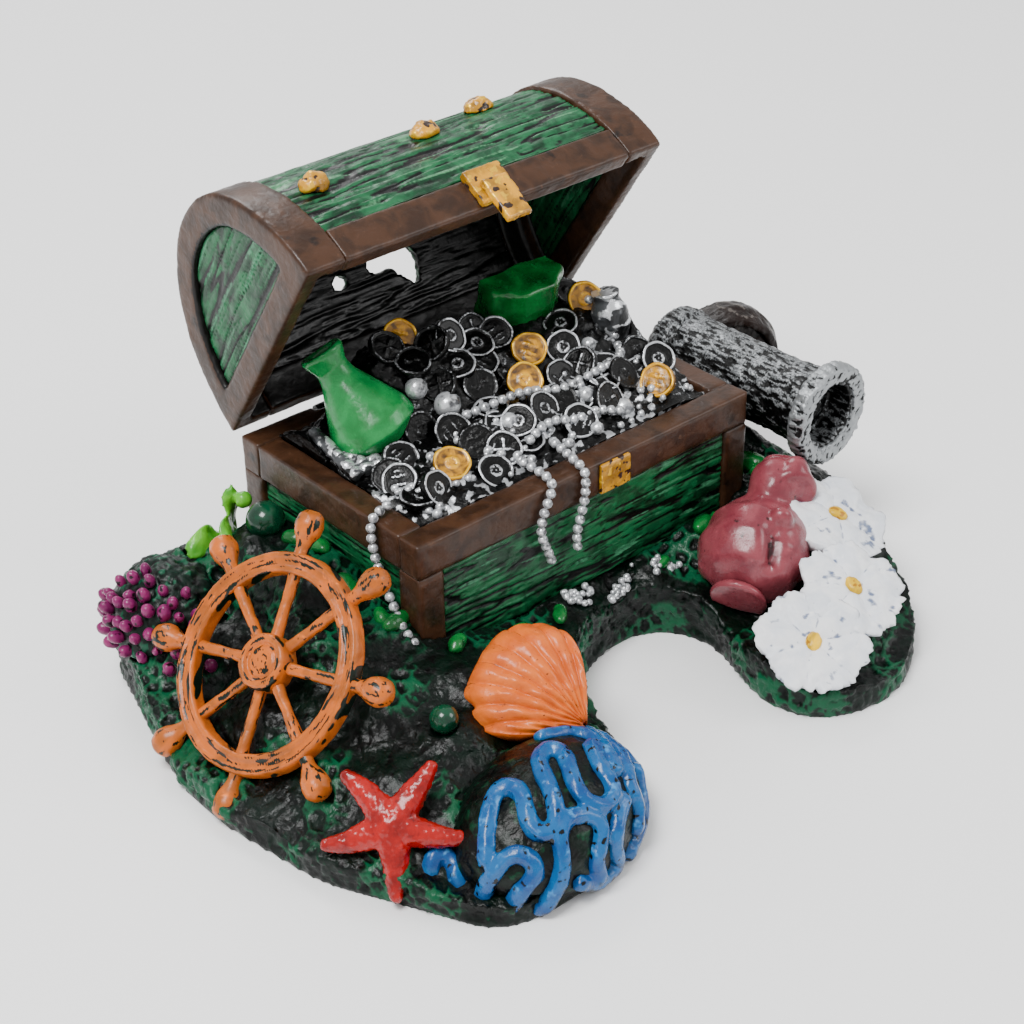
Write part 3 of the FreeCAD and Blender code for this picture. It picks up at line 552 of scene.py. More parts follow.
def lid():
    rim_line = Matrix.Rotation(-OPEN, 3, "X") @ Vector((0, 1, 0))
    for side in ("left", "right"):
        frame_node = f"lid_frame_{side}"
        weathered(f"lid_border_{side}", frame_node, 0.45, lid_trim_relief, "brown", "lid", "brown_paint", 2)
        relief = grain(rim_line, depth=0.3, pitch=1.9)
        weathered(f"lid_end_{side}", f"lid_panel_{side}", 0.3, relief, "green", "lid", "green_paint")
    boards = grain((1, 0, 0), depth=0.45, pitch=2.0, inside=lid_inside)
    weathered("lid_boards", "lid_planks", 0.42, boards, "lid_green", "lid", "green_paint", 0)
    for side in ("front", "rear"):
        rail = f"lid_rail_{side}"
        weathered(f"lid_edge_{side}", rail, 0.42, lid_trim_relief, "brown", "lid", "brown_paint", 2)
    weathered("hasp_leaf", "hasp_plate", 0.22, lumpy(0.12, 1.6, 0.7), "gold", "lid", "gold_paint")
    weathered("hasp_tab", "hasp_tongue", 0.22, lumpy(0.12, 1.6, 0.7), "gold", "lid", "gold_paint")
    weathered("lid_barnacles", "lid_lumps", 0.25, lumpy(0.4, 1.5, 0.7), "gold", "lid", "gold_paint")
    weathered("hinge_straps", "lid_knuckles", 0.25, lumpy(0.02, 1.5), "black", "lid", "gunmetal", 0)
    weathered("hinge_barrels", "chest_knuckles", 0.25, lumpy(0.02, 1.5), "black", "base", "gunmetal", 0)
    finish("hinge_pin", "steel")


# --- treasure ---
GOLD_COINS = (  # x and y from the chest's corner, lean and which way
    (25.5, 35.5, 60, 235), (60, 29, 70, 235), (43.5, 24.5, 40, 240), (38.5, 20, 45, 240), (58, 9, 50, 200),
    (16.5, 12, 30, 250),
)  # fmt: skip
COIN_R = 3.0
COIN_T = 0.9
COINS_LEFT_OUT = 0.25


def coin_mark(pattern, x, y):
    """1 on the raised strokes in the middle of a coin."""
    if math.hypot(x, y) > 1.7:
        return 0.0
    if pattern == 0:
        return 1.0 if abs(x) % 0.9 > 0.55 and abs(y) < 1.1 else 0.0
    if pattern == 1:
        return 1.0 if abs(math.hypot(x, y) - 0.9) < 0.26 or math.hypot(x, y) < 0.3 else 0.0
    if pattern == 2:
        return 1.0 if abs(y - 0.8 * math.sin(2.0 * x)) < 0.3 else 0.0
    return 1.0 if min(abs(x - y), abs(x + y)) < 0.28 else 0.0


def coin_mesh(pattern, shine):
    """A worn coin with a raised rim and plain strokes; shine is how much paint its edges still carry."""
    radii = (0.0, 0.35, 0.65, 0.95, 1.25, 1.55, 1.9, 2.25, 2.45, 2.6, 2.85, 3.0, 3.0)
    segments = 36
    bm = bmesh.new()
    high, deep_and_shaded = paint_layers(bm)
    rings = []
    for index, radius in enumerate(radii):
        ring = []
        for k in range(segments if radius else 1):
            angle = 2 * math.pi * k / segments
            wobble = 1 + 0.03 * math.sin(3 * angle + pattern) + 0.015 * math.sin(7 * angle)
            x, y = radius * wobble * math.cos(angle), radius * wobble * math.sin(angle)
            rim = 2.5 < radius and index < 11
            mark = coin_mark(pattern, x, y)
            z = COIN_T + (0.22 if rim else 0.2 * mark)
            if index == 11:
                z = COIN_T
            if index == 12:
                z = 0.0
            vertex = bm.verts.new((x, y, z))
            worn = 0.75 + 0.5 * noise(Vector((x, y, pattern + 3 * shine)) / 1.4)
            vertex[high] = shine * worn * (1.0 if rim else 0.8 * mark)
            vertex[deep_and_shaded] = 0.0 if rim or mark else 0.45
            ring.append(vertex)
        rings.append(ring)
    for inner, outer in zip(rings, rings[1:]):
        band(bm, inner, outer)
    bm.faces.new(list(reversed(rings[-1])))
    return closed(bm)


SHUT_SLIT = 3.3  # degrees that the lid stays open at the lower end of its travel
LID_SWEEP = 39.6  # radius about the hinge that the lid's inside reaches
DOME_MIDDLE, DOME_HALF, DOME_HIGH = 22.15, 18.6, 22.0  # the room under the lid, from its front edge


def lid_clear(point):
    """True where the lid can't reach a point, in millimetres in the row frame."""
    arm = point - HINGE
    distance = math.hypot(arm.y, arm.z)
    if point.z < RIM - 0.5:
        return 5.0 < point.x - CHEST.x < CHEST_W - 5.0 and distance > 5.0
    shut = turned(SHUT_SLIT, "X").to_3x3() @ arm + HINGE - CHEST
    along, high = 44.6 - shut.y, shut.z - RIM
    dome = DOME_HIGH * math.sqrt(max(0.0, 1 - ((along - DOME_MIDDLE) / DOME_HALF) ** 2))
    return distance < LID_SWEEP and high < dome and 4.5 < along and 4.0 < shut.x < CHEST_W - 4.0


def fits(mesh, matrix):
    step = max(1, len(mesh.vertices) // 40)
    return all(lid_clear(matrix @ mesh.vertices[k].co) for k in range(0, len(mesh.vertices), step))


def lay_coin(tree, x, y, lean, towards, sunk=0.25):
    """The placement of a coin on the heap; x and y are from the chest's corner."""
    hit = drop(tree, x + CHEST.x, y + CHEST.y)
    if not hit:
        return None
    turn = turned(towards, "Z") @ turned(lean, "Y")
    spin = turned(random.uniform(0, 360), "Z")
    lift = COIN_R * math.sin(math.radians(lean)) * 0.45 - sunk
    return Matrix.Translation(hit[0] + Vector((0, 0, lift))) @ turn @ spin


def coins(tree, avoid):
    shines = (0.5, 0.8, 1.15)
    stamps = {(k, shine): coin_mesh(k, shine) for k in range(4) for shine in shines}
    gold = []
    for number, (x, y, lean, towards) in enumerate(GOLD_COINS):
        place = lay_coin(tree, x, y, lean, towards)
        gold.append((stamps[number % 2, 0.8], place))
    silver = []
    for row in range(9):
        for column in range(15):
            x = 5.5 + 4.5 * column + random.uniform(-1.3, 1.3) + 2.2 * (row % 2)
            y = 6.0 + 4.0 * row + random.uniform(-1.2, 1.2)
            lean, towards = random.uniform(5, 60), random.uniform(190, 290)
            rear_left = smoothstep(42, 26, x) * smoothstep(16, 26, y)
            shine = shines[min(2, int(random.uniform(0.7, 3.6) * (1 - 0.8 * rear_left)))]
            stamp = stamps[random.randrange(4), shine]
            place = lay_coin(tree, x, y, lean, towards, random.uniform(0.2, 1.5))
            near_gold = any(math.hypot(x - g[0], y - g[1]) < 5.0 for g in GOLD_COINS)
            if place is None or near_gold or random.random() < COINS_LEFT_OUT:
                continue
            if any(math.hypot(x - a, y - b) < r for a, b, r in avoid):
                continue
            if fits(stamp, place):
                silver.append((stamp, place))
    piece_of("coins_gold", merge(gold), "gold", "base", "gold_paint", "gold_coins")
    piece_of("coins_silver", merge(silver), "coin", "base", "silver_paint", "silver_coins")


def pearl_mesh(radius):
    bm = bmesh.new()
    bmesh.ops.create_icosphere(bm, subdivisions=2, radius=radius)
    high, deep_and_shaded = paint_layers(bm)
    for vertex in bm.verts:
        vertex.co *= 1 + 0.05 * noise(vertex.co * 2.0)
        vertex[high] = 0.55 + 0.4 * noise(vertex.co / radius * 1.3)
        # painted shade: each bead darkens towards its underside
        vertex[deep_and_shaded] = 0.35 * smoothstep(0.2, 0.9, -vertex.co.z / radius)
    return mesh_from(bm)


def on_heap(tree, x, y, lift):
    hit = drop(tree, x + CHEST.x, y + CHEST.y)
    z = hit[0].z if hit else RIM
    return Vector((x + CHEST.x, y + CHEST.y, z + lift))


BEAD_R = 0.82
BIG_BEAD_R = 1.9


def pearls(tree):
    radius = BEAD_R
    bead = pearl_mesh(radius)
    front = []
    for outline in (
        ((26, 6), (26.6, 2.5), (26.4, -0.6), 24.8, 23.4, 23.2, 24.6, 25.6),
        ((33.5, 7), (33, 3), (32.8, -0.6), 32.6, 32.4, 31.4, 30.4, 31),
    ):
        heights = (34.6, 34.2, 33.6, 31.5, 28.5, 25.5, 22.5, 19.5)
        spots = [spot if isinstance(spot, tuple) else (spot, -1.1) for spot in outline]
        front.append([at(x, y, z) for (x, y), z in zip(spots, heights)])
    corner = (
        (3.0, 11, 34.2), (0.4, 10.6, 34.1), (-1.0, 10.2, 32.5), (-1.1, 9.4, 28), (-1.1, 7.5, 24),
        (-1.4, 4.5, 20.8), (-2.0, 2.0, 18.4), (-1.6, -0.6, 16.8),
    )
    front.append([at(*point) for point in corner])
    placed = []
    for route in front:
        for point in spline_points(route, 1.95 * radius):
            placed.append((bead, Matrix.Translation(point)))
    piece_of("pearls_front", merge(placed), "pearl", "base", "pearl", "front_pearls")
    placed = []
    for outline in (
        ((24, 19.5), (30, 17.5), (36, 17), (42, 14.5), (48, 14), (53, 15)),
        ((60, 28), (61.5, 24), (60, 20), (57, 17), (53, 15)),
        ((30, 9), (35, 10.5), (40, 8.5), (45, 9.5), (49, 8)),
    ):
        route = [on_heap(tree, x, y, 1.5) for x, y in outline]
        for point in spline_points(route, 1.95 * radius):
            hit = drop(tree, point.x, point.y)
            point.z = (hit[0].z if hit else point.z) + 1.25
            if lid_clear(point + Vector((0, 0, radius))):
                placed.append((bead, Matrix.Translation(point)))
    piece_of("pearls_heap", merge(placed), "pearl", "base", "pearl", "heap_pearls")
    placed = []
    big = pearl_mesh(BIG_BEAD_R)
    for x, y, size in (
        (21.5, 26.5, 1.0), (45.5, 13.0, 0.8), (50.5, 9.5, 1.0), (61.0, 20.0, 0.95), (54.0, 21.5, 0.7),
        (30.5, 14.5, 0.9), (64, 26, 0.8), (36, 6.5, 0.5), (24.5, 22.5, 1.2), (42, 6.5, 0.6),
    ):
        point = on_heap(tree, x, y, 0.6)
        if lid_clear(point + Vector((0, 0, BIG_BEAD_R * size))):
            placed.append((big, Matrix.Translation(point) @ Matrix.Scale(size, 4)))
    for _ in range(110):
        x, y = random.uniform(6, 64), random.uniform(5.5, 20)
        size = random.uniform(0.5, 1.1)
        point = on_heap(tree, x, y, 0.3)
        if lid_clear(point + Vector((0, 0, 1.0))):
            placed.append((bead, Matrix.Translation(point) @ Matrix.Scale(size, 4)))
    piece_of("pearls_loose", merge(placed), "pearl", "base", "pearl", "loose_pearls")


def heap_relief(point, normal):
    """Small treasure too worn to tell apart, brushed with silver, brighter towards the front."""
    near, _ = voronoi(point / 1.7)
    bead = 1 - smoothstep(0.1, 0.75, near[0])
    wave = noise(point / 3.2)
    front = smoothstep(34, 6, point.y - CHEST.y) if point.y - CHEST.y < 34 else 0.0
    room = 0.0 if not lid_clear(point + Vector((0, 0, 0.7))) else 1.0
    push = room * (0.55 * bead + 0.4 * wave) - 0.3
    sparkle = noise(point / 1.2 + Vector((3, 1, 4)))
    shine = (0.25 + 0.75 * front) * smoothstep(0.1, 0.6, sparkle + 0.35 * bead)
    return push, smoothstep(0.0, 0.5, -wave), shine


def treasure():
    tree = surface("treasure_heap")
    heap = carve(remeshed(cad_copy("treasure_heap"), 0.5), heap_relief)
    piece_of("heap", heap, "heap", "base", "black_paint", "treasure_heap")
    weathered("vase", "green_vase", 0.3, glossy(0.10, 4.0), "vase", "base", "lime_paint", 2)
    block = cad_copy("green_gem")
    middle = sum((v.co for v in block.vertices), Vector()) / len(block.vertices)
    wider = Matrix.Diagonal(Vector((1.3, 1.05, 1.12, 1)))
    block.transform(Matrix.Translation(middle) @ wider @ Matrix.Translation(-middle))
    block = carve(remeshed(block, 0.4, 8), glossy(0.45, 3.4))
    piece_of("green_block", block, "gem", "base", "teal_paint", "green_gem")
    relief = strokes((1, 0, 0), 0.1, -0.1, 1.4)
    weathered("jar", "silver_jar", 0.28, relief, "silver", "base", "silver_paint")
    relief = strokes((1, 0, 0), 0.16, -0.1, 1.0)
    weathered("bundle", "silver_bundle", 0.28, relief, "silver", "base", "silver_paint")
    coins(tree, ((13, 29, 8.0), (50.5, 35.5, 8.0), (62.4, 25.5, 3.5), (8, 26, 5.0)))
    pearls(tree)


# --- cannon, keg and jug ---
CANNON_BACK, CANNON_FRONT = at(80.4, 29, 27), at(82.4, -8, 27)


def cannon():
    axis = CANNON_FRONT - CANNON_BACK
    lining = ((0, -9), (6.6, -9), (6.9, -0.6), (5.3, -0.6), (5.2, -5.5), (2.6, -4.6), (0, -5.2))
    liner = lathe(lining, 64)
    mouth = facing(CANNON_FRONT, CANNON_FRONT - CANNON_BACK)
    barrel = remeshed(merge([(cad_copy("cannon_barrel"), STILL), (liner, mouth)]), 0.38, 2)
    barrel = carve(barrel, strokes(axis, 0.28, -0.35, 0.5, 0.6))
    piece_of("cannon", barrel, "cannon", "base", "gunmetal", "cannon_barrel")
    relief = strokes(axis, 0.35, -0.7, 0.7, 0.85)
    weathered("muzzle", "cannon_muzzle_ring", 0.35, relief, "cannon", "base", "silver_paint", 2)
    relief = strokes((0, 0, 1), 0.15, 0.25, 1.4)
    weathered("keg_band", "keg_staves", 0.4, relief, "keg", "base", "brown_paint", 2)
    weathered("keg_lid", "keg_head", 0.45, lumpy(0.3, 2.0, 0.5), "keg", "base", "black_paint", 1)


JUG_FOLD = (at(56.2, -19.6, 20.2), at(53.6, -21.6, 16.4))


def folded(point, normal):
    """A deep crease below the handle's stump, darkened with painted shade, on a lumpy body with darker chips.
    """
    start, end = JUG_FOLD
    along = end - start
    t = min(1.0, max(0.0, (point - start).dot(along) / along.length_squared))
    distance = (point - start - along * t).length
    crease = math.exp(-((distance / (1.7 - 0.7 * t)) ** 2))
    wave = noise(point / 4.0)
    chips = noise(point / 1.1)
    # painted shade darkens the crease; the chips are darker specks
    return 0.45 * wave - 1.5 * crease, 0.55 * crease + 0.5 * smoothstep(0.45, 0.6, chips), 0.0


def jug():
    """A jug on its side: a round foot, two bulges with a crease between them, a neck and a handle."""
    body = cad_copy("amphora_body", "amphora_handle")
    shapes = [(body, STILL)]
    for centre, radii, turn in (
        ((59.4, -18.0, 21.2), (2.1, 2.0, 2.3), (0, 0, 0)),
        ((66.0, -10.0, 20.5), (5.6, 4.2, 4.6), (0, -25, 30)),
        ((69.0, -12.2, 22.0), (3.0, 2.8, 4.2), (0, 0, 30)),
    ):
        centre = at(*centre)
        shapes.append((blob(centre, radii, turn), STILL))
    mesh = carve(remeshed(merge(shapes), 0.42, 4), folded)
    piece_of("jug", mesh, "maroon", "base", "maroon_paint", "amphora_body", "amphora_handle")
    weathered("jug_foot", "amphora_foot", 0.3, glossy(0.05, 3.0), "maroon", "base", "maroon_paint", 3)


# --- ship's wheel ---
WHEEL_HUB = at(-22.0, 8.5, 18.5)
WHEEL_FACE = (-0.752, -0.06, 0.656)
WHEEL_ROLL = 18.0
SPOKES = 8


def rubbed(point, strip, cover):
    mark = noise(strip) + 0.7 * noise(strip * 2.3 + Vector((1, 5, 2)))
    return 0.10 * noise(point / 1.6), smoothstep(cover, cover + 0.35, mark), 0.0


def scratched_round(point, normal):
    """Paint rubbed off in strokes that run round the wheel."""
    radius, angle = math.hypot(point.x, point.y), math.atan2(point.y, point.x)
    turns = 0.2 * radius + 0.6
    strip = Vector((radius * 2.0, turns * math.cos(angle), turns * math.sin(angle) + point.z * 0.3))
    return rubbed(point, strip, 0.16)


def scratched_along(point, normal):
    """Paint rubbed off in strokes that run along the spokes and handles."""
    radius = math.hypot(point.x, point.y)
    place = (math.degrees(math.atan2(point.y, point.x)) - WHEEL_ROLL) / (360 / SPOKES)
    spoke = round(place)
    aside = math.radians((place - spoke) * 360 / SPOKES) * radius
    return rubbed(point, Vector((radius * 0.3 + 7 * spoke, aside * 1.5, point.z * 1.2)), 0.2)


WHEEL_RING = (
    (13.6, -1.3), (16.5, -1.4), (16.9, -0.9), (16.9, 0.8), (16.6, 1.4), (16.1, 1.5), (15.9, 1.15),
    (15.3, 1.05), (14.7, 1.15), (14.5, 1.5), (14.0, 1.5), (13.6, 1.1),
)
WHEEL_BOSS = (
    (0, -1.5), (4.2, -1.5), (4.4, 0.8), (4.2, 1.9), (3.7, 2.3), (3.1, 2.2), (2.7, 1.6), (2.5, 1.5),
    (2.2, 1.9), (1.4, 2.0), (0, 2.1),
)
WHEEL_BAR = ((0, 2.8), (1.15, 2.9), (1.0, 4.0), (0.85, 8.0), (1.0, 13.0), (1.1, 14.4), (0, 14.6))
WHEEL_GRIP = (
    (0, 15.6), (1.2, 15.8), (1.05, 17.6), (1.3, 18.6), (2.0, 20.0), (2.25, 21.4), (1.9, 22.8), (1.0, 23.5),
    (0, 23.6),
)


def spread(shape):
    """A copy of shape for each spoke of the wheel."""
    turns = [turned(WHEEL_ROLL + k * 360 / SPOKES, "Z") @ turned(90, "Y") for k in range(SPOKES)]
    return merge([(shape, turn) for turn in turns])


def wheel():
    place = facing(WHEEL_HUB, WHEEL_FACE)
    for name, shape, voxel, relief, node in (
        ("wheel_ring", lathe(WHEEL_RING, 160), 0.28, scratched_round, "wheel_rim"),
        ("wheel_boss", lathe(WHEEL_BOSS, 64), 0.24, scratched_round, "wheel_hub"),
        ("wheel_bars", spread(lathe(WHEEL_BAR, 20)), 0.3, scratched_along, "wheel_spokes"),
        ("wheel_grips", spread(lathe(WHEEL_GRIP, 28)), 0.3, scratched_along, "wheel_handles"),
    ):
        mesh = carve(remeshed(shape, voxel, 1), relief)
        mesh.transform(place)
        piece_of(name, mesh, "orange", "base", "orange_paint", node)


# --- sea life ---
def star_relief(point, normal):
    near, _ = voronoi(point / 0.95)
    bump = 1 - smoothstep(0.1, 0.7, near[0])
    wave = noise(point / 2.4)
    shine = 0.42 * bump * smoothstep(-0.1, 0.5, wave)
    return 0.16 * bump + 0.15 * wave, 0.4 * smoothstep(0.55, 0.8, near[0]), shine


def star():
    shapes = []
    for arm in range(5):
        angle = 0.23 + 2 * math.pi * arm / 5
        for k in range(13):
            t = k / 12
            bend = 0.10 * math.sin(2.1 * arm) * t * t
            reach = 9.6 * t
            centre = (reach * math.cos(angle + bend), reach * math.sin(angle + bend), 1.0 - 0.5 * t)
            radius = 2.9 * (1 - t) + 1.05 * t
            ball = blob(centre, (radius, radius, 0.78 * radius + 0.2), subdivisions=2)
            shapes.append((ball, STILL))
    mesh = carve(remeshed(merge(shapes), 0.26, 2), star_relief)
    mesh.transform(facing(at(-24.2, -23.2, 8.9), (-0.55, -0.5, 0.67)))
    piece_of("star", mesh, "red", "base", "red_paint", "starfish")


def scallop():
    """A fan with round ribs from the umbo, which lies low."""
    bm = bmesh.new()
    high, deep_and_shaded = paint_layers(bm)
    across, along, ribs = 108, 34, 9
    grid = []
    for j in range(along + 1):
        t = 0.04 + 0.96 * j / along
        row = []
        for i in range(across + 1):
            side = 2 * i / across - 1
            angle = math.radians(50) * side + 0.05 * math.sin(3 * t)
            reach = 18.9 * math.sqrt(max(0.0, 1 - side**4 * 0.82)) * (1 + 0.015 * math.sin(9 * angle))
            notch = 1 - 0.10 * math.exp(-(((side + 0.55) / 0.07) ** 2)) * smoothstep(0.7, 1.0, t)
            x = reach * t * notch * math.sin(angle)
            y = reach * t * notch * math.cos(angle) - 8.8
            arch = math.sqrt(max(0.0, 1 - (x / 10.6) ** 2 - ((y - 0.3) / 9.9) ** 2))
            wave = abs(math.sin((side + 1) / 2 * ribs * math.pi))
            ring = 0.16 * math.sin(24 * t + 2 * math.sin(5 * side))
            rough = 0.2 * noise(Vector((x, y, 1)) / 1.2)
            z = 5.0 * arch + 0.9 * (wave**0.7) * t**0.5 + ring + rough
            vertex = bm.verts.new((x, y, z))
            vertex[high] = 0.5 * wave * noise(Vector((x, y, 0)) * 1.3)
            uneven = 0.6 + 0.6 * noise(Vector((x, y, 4)) / 2)
            vertex[deep_and_shaded] = 0.6 * (1 - smoothstep(0.0, 0.3, wave)) * uneven
            row.append(vertex)
        grid.append(row)
    for near, far in zip(grid, grid[1:]):
        for i in range(across):
            bm.faces.new((near[i], near[i + 1], far[i + 1], far[i]))
    mesh = skirted(bm, -1.2)
    mesh.transform(facing(at(6.6, -18.6, 13.4), (-0.3, -0.52, 0.8), 15))
    piece_of("scallop", mesh, "scallop", "base", "scallop_orange", "scallop_shell")


CORAL_AT = at(-4.4, -32.8, 4.5)
CORAL_TURN = Matrix.Rotation(math.radians(12), 3, "Z")
CORAL_TUBE_R = 1.55
CORAL_TUBES = (  # control points about the dome's middle
    ((-15, -1, 4), (-12, 1, 7), (-8, 3, 9), (-6, 2, 10), (-6.5, -1, 10), (-9, -3.5, 8), (-9.5, -6, 7),
     (-7, -7, 7), (-4.5, -5, 9), (-3, -2.5, 10), (-0.5, 1, 10.5), (3, 2, 10), (3.5, -0.5, 10),
     (1, -3.5, 10), (-1, -6, 9), (-1, -8, 8), (1, -9.5, 6.5), (4, -9, 6.5), (5, -7, 7.5), (5.5, -5, 9),
     (8.5, -2, 9)),
    ((13.5, 1, 6), (13, -3, 6), (10, -6.5, 6), (8, -9, 5), (8, -10.5, 2), (6, -11.5, 0)),
    ((-15, -4, -3.5), (-12.5, -6, -4.5), (-11.5, -7.5, -2.5), (-11, -9, -1), (-9.5, -9.5, 1.5),
     (-8.5, -9, 4), (-7.5, -7.5, 6.5), (-5.5, -7, 7.5), (-2.5, -8.5, 7.5), (-1, -10, 5.5),
     (-2.5, -11, 3.5), (-4.5, -11.5, 1.5), (-3.5, -11.5, -1.5)),
    ((-19, 6.5, -2.5), (-17, 8, -0.5), (-14.5, 8, 0.5), (-14.5, 5, 0), (-16, 3.5, -2), (-17, 1.5, -3.5),
     (-17, -0.5, -4), (-16, -1.5, -1.5), (-16, -2, 1.5), (-14.5, -3, 4), (-13, -4, 5.5), (-12, -6, 5),
     (-12, -7.5, 3), (-13.5, -6.5, 1.5), (-14.5, -5.5, -1), (-15, -4, -3.5)),
    ((5, -10, 5.5), (2, -11, 4.5), (-0.5, -11.5, 2), (1, -11.5, -2.5), (-1, -11.5, -4), (-4, -11.5, -3),
     (-7, -10.5, -0.5)),
    ((14, -6, 3), (12.5, -8.5, 0.5), (9, -10.5, -1.5), (6.5, -11.5, -3.5), (4, -11.5, -3.5)),
    ((6, 5, 8.5), (9, 4, 8), (11.5, 2, 7), (11, -1.5, 7.5), (9, -4, 8), (7.5, -6.5, 7)),
    ((14.5, 4, 4), (15.5, 0, 3), (14.5, -4, 2), (15, -5, -1), (12, -8, -3)),
)  # fmt: skip


def coral():
    """A black dome with thick blue tubes winding over it."""
    weathered("coral_dome", "blue_coral", 0.5, lumpy(0.25, 2.0, 0.5), "rock", "base", "blue_paint", 1)
    tree = surface("blue_coral", "rock_base")
    shapes = []
    for tube in CORAL_TUBES:
        route = []
        for control in tube:
            point = CORAL_AT + CORAL_TURN @ Vector(control)
            point.z = max(point.z, 1.4)
            nearest = tree.find_nearest(point)
            route.append(nearest[0] + nearest[1] * 0.15)
        for number, point in enumerate(spline_points(route, 0.42)):
            thick = CORAL_TUBE_R + 0.22 * noise(point * 0.35)
            squeeze = 1 if number % 2 else 0.96
            if point.z > 1.0:
                shapes.append((blob(point, (thick * squeeze,) * 3, subdivisions=1), STILL))
    mesh = remeshed(merge(shapes), 0.3, 2)

    def tube_relief(point, normal):
        wave = noise(point / 1.3)
        rub = noise(point / 0.9 + Vector((2, 2, 8)))
        # rubbed patches are darker, and the faces that turn down take painted shade; the faces that turn up
        # lean to the edge colour as a painted highlight
        low = max(smoothstep(0.35, 0.6, rub), smoothstep(0.25, -0.35, normal.z) * 0.5)
        return 0.12 * wave, low, 0.5 * smoothstep(0.3, 0.8, wave + 0.4 * normal.z)

    piece_of("coral_tubes", carve(mesh, tube_relief), "blue", "base", "blue_paint")


FLOWERS = (
    ((50.5, -33.5, 8.5), (-0.25, -0.35, 0.9), 9.3),
    ((62.5, -30.5, 11.8), (-0.1, -0.4, 0.91), 8.9),
    ((71.5, -18.5, 15.6), (0.1, -0.4, 0.91), 9.0),
)


PETAL_EDGE = ((0.16, 1.6), (0.10, 5), (0.07, 13))  # how much, and at what scale, the edge wanders


def bloom(number, centre, direction, size):
    """A ragged flat flower: overlapping petals that rise and fall, with creases between them, which take
    painted shade along with the low parts of the petals.
    """
    bm = bmesh.new()
    _, deep_and_shaded = paint_layers(bm)
    segments, rings, petals = 120, 22, 6
    grid = []
    for j in range(rings + 1):
        t = j / rings
        ring = []
        for k in range(segments):
            angle = 2 * math.pi * k / segments
            spot = Vector((math.cos(angle), math.sin(angle), number * 3.0))
            ragged = sum(part * noise(spot * scale) for part, scale in PETAL_EDGE)
            lobe = 0.07 * abs(math.sin(petals / 2 * angle + number))
            radius = size * t * min(1.04, 0.90 + lobe + ragged)
            petal = abs(math.sin(petals / 2 * angle + number + 0.35 * math.sin(3 * t)))
            x, y = radius * math.cos(angle), radius * math.sin(angle)
            rumple = noise(Vector((x, y, number * 5.0)) / 2.6)
            rumple += 0.4 * noise(Vector((x, y, 2.0)) / 0.9)
            z = 2.0 + 1.1 * petal * t + 0.9 * rumple * t - 1.1 * t * t
            vertex = bm.verts.new((x, y, z))
            # painted shade: the creases between petals and the dips of the petals take the bluish recess
            # colour
            crease_shade = math.exp(-((petal / 0.22) ** 2)) * smoothstep(0.1, 0.35, t) * (1 - 0.5 * t)
            vertex[deep_and_shaded] = 0.5 * crease_shade * (1 + rumple) + 0.55 * smoothstep(0.2, 0.6, -rumple)
            ring.append(vertex)
        grid.append(ring)
    for inner, outer in zip(grid, grid[1:]):
        band(bm, inner, outer)
    bmesh.ops.remove_doubles(bm, verts=grid[0], dist=1e-5)
    mesh = skirted(bm, -1.0, 0.86)
    mesh.transform(facing(at(*centre), direction))
    piece_of(f"bloom_{number}", mesh, "white", "base", "white_paint", f"flower_{number}")


def flowers():
    hearts = []
    for number, (centre, direction, size) in enumerate(FLOWERS, start=1):
        bloom(number, centre, direction, size)
        heart = blob((0, 0, 2.2), (1.7, 1.25, 0.75), (0, 0, 40 * number))
        hearts.append((heart, facing(at(*centre), direction)))
    mesh = carve(merge(hearts), lumpy(0.15, 0.8, 0.0))
    piece_of("flower_hearts", mesh, "yellow", "base", "yellow_paint", "flower_centres")


def mound_relief(point, normal):
    """Short strands standing out of the mound."""
    drawn = Vector((point.x, point.y, point.z * 0.35))
    strand = noise(drawn / 0.9)
    wave = noise(point / 3.0)
    return 0.5 * strand + 0.5 * wave, smoothstep(0.0, 0.5, -strand), 0.8 * smoothstep(0.05, 0.45, strand)


def polyps():
    weathered("mound", "polyp_mound", 0.42, mound_relief, "mound", "base", "rock_paint", 1)
    tree = surface("polyp_mound", "rock_base")
    buds = []
    count = 0
    while len(buds) < 46 and count < 900:
        count += 1
        around = math.radians(random.uniform(120, 262))
        tilt = random.uniform(0.25, 1.0)
        outward = Vector((math.cos(around) * tilt, math.sin(around) * tilt, math.sqrt(1 - tilt * tilt) * 0.9))
        start = at(-20.5, 34.5, 8.5) + outward * 26
        hit = tree.ray_cast(start, -outward)
        if not hit[0] or hit[0].z < 2.5:
            continue
        if any((hit[0] - spot).length < 2.1 for spot, _ in buds):
            continue
        buds.append((hit[0], hit[1]))
    shapes = []
    for spot, normal in buds:
        lean = (normal + Vector((0, 0, 0.5))).normalized()
        size = random.uniform(0.72, 1.08)
        bud = blob((0, 0, 0.7), (1.05 * size, 1.05 * size, 1.5 * size), subdivisions=3)
        stalk = blob((0, 0, -0.6), (0.6, 0.6, 1.2), subdivisions=2)
        for shape in (bud, stalk):
            shapes.append((shape, facing(spot, lean)))
    mesh = carve(merge(shapes), lumpy(0.12, 1.0, 0.0))
    piece_of("polyp_buds", mesh, "magenta", "base", "magenta_paint", "polyps")


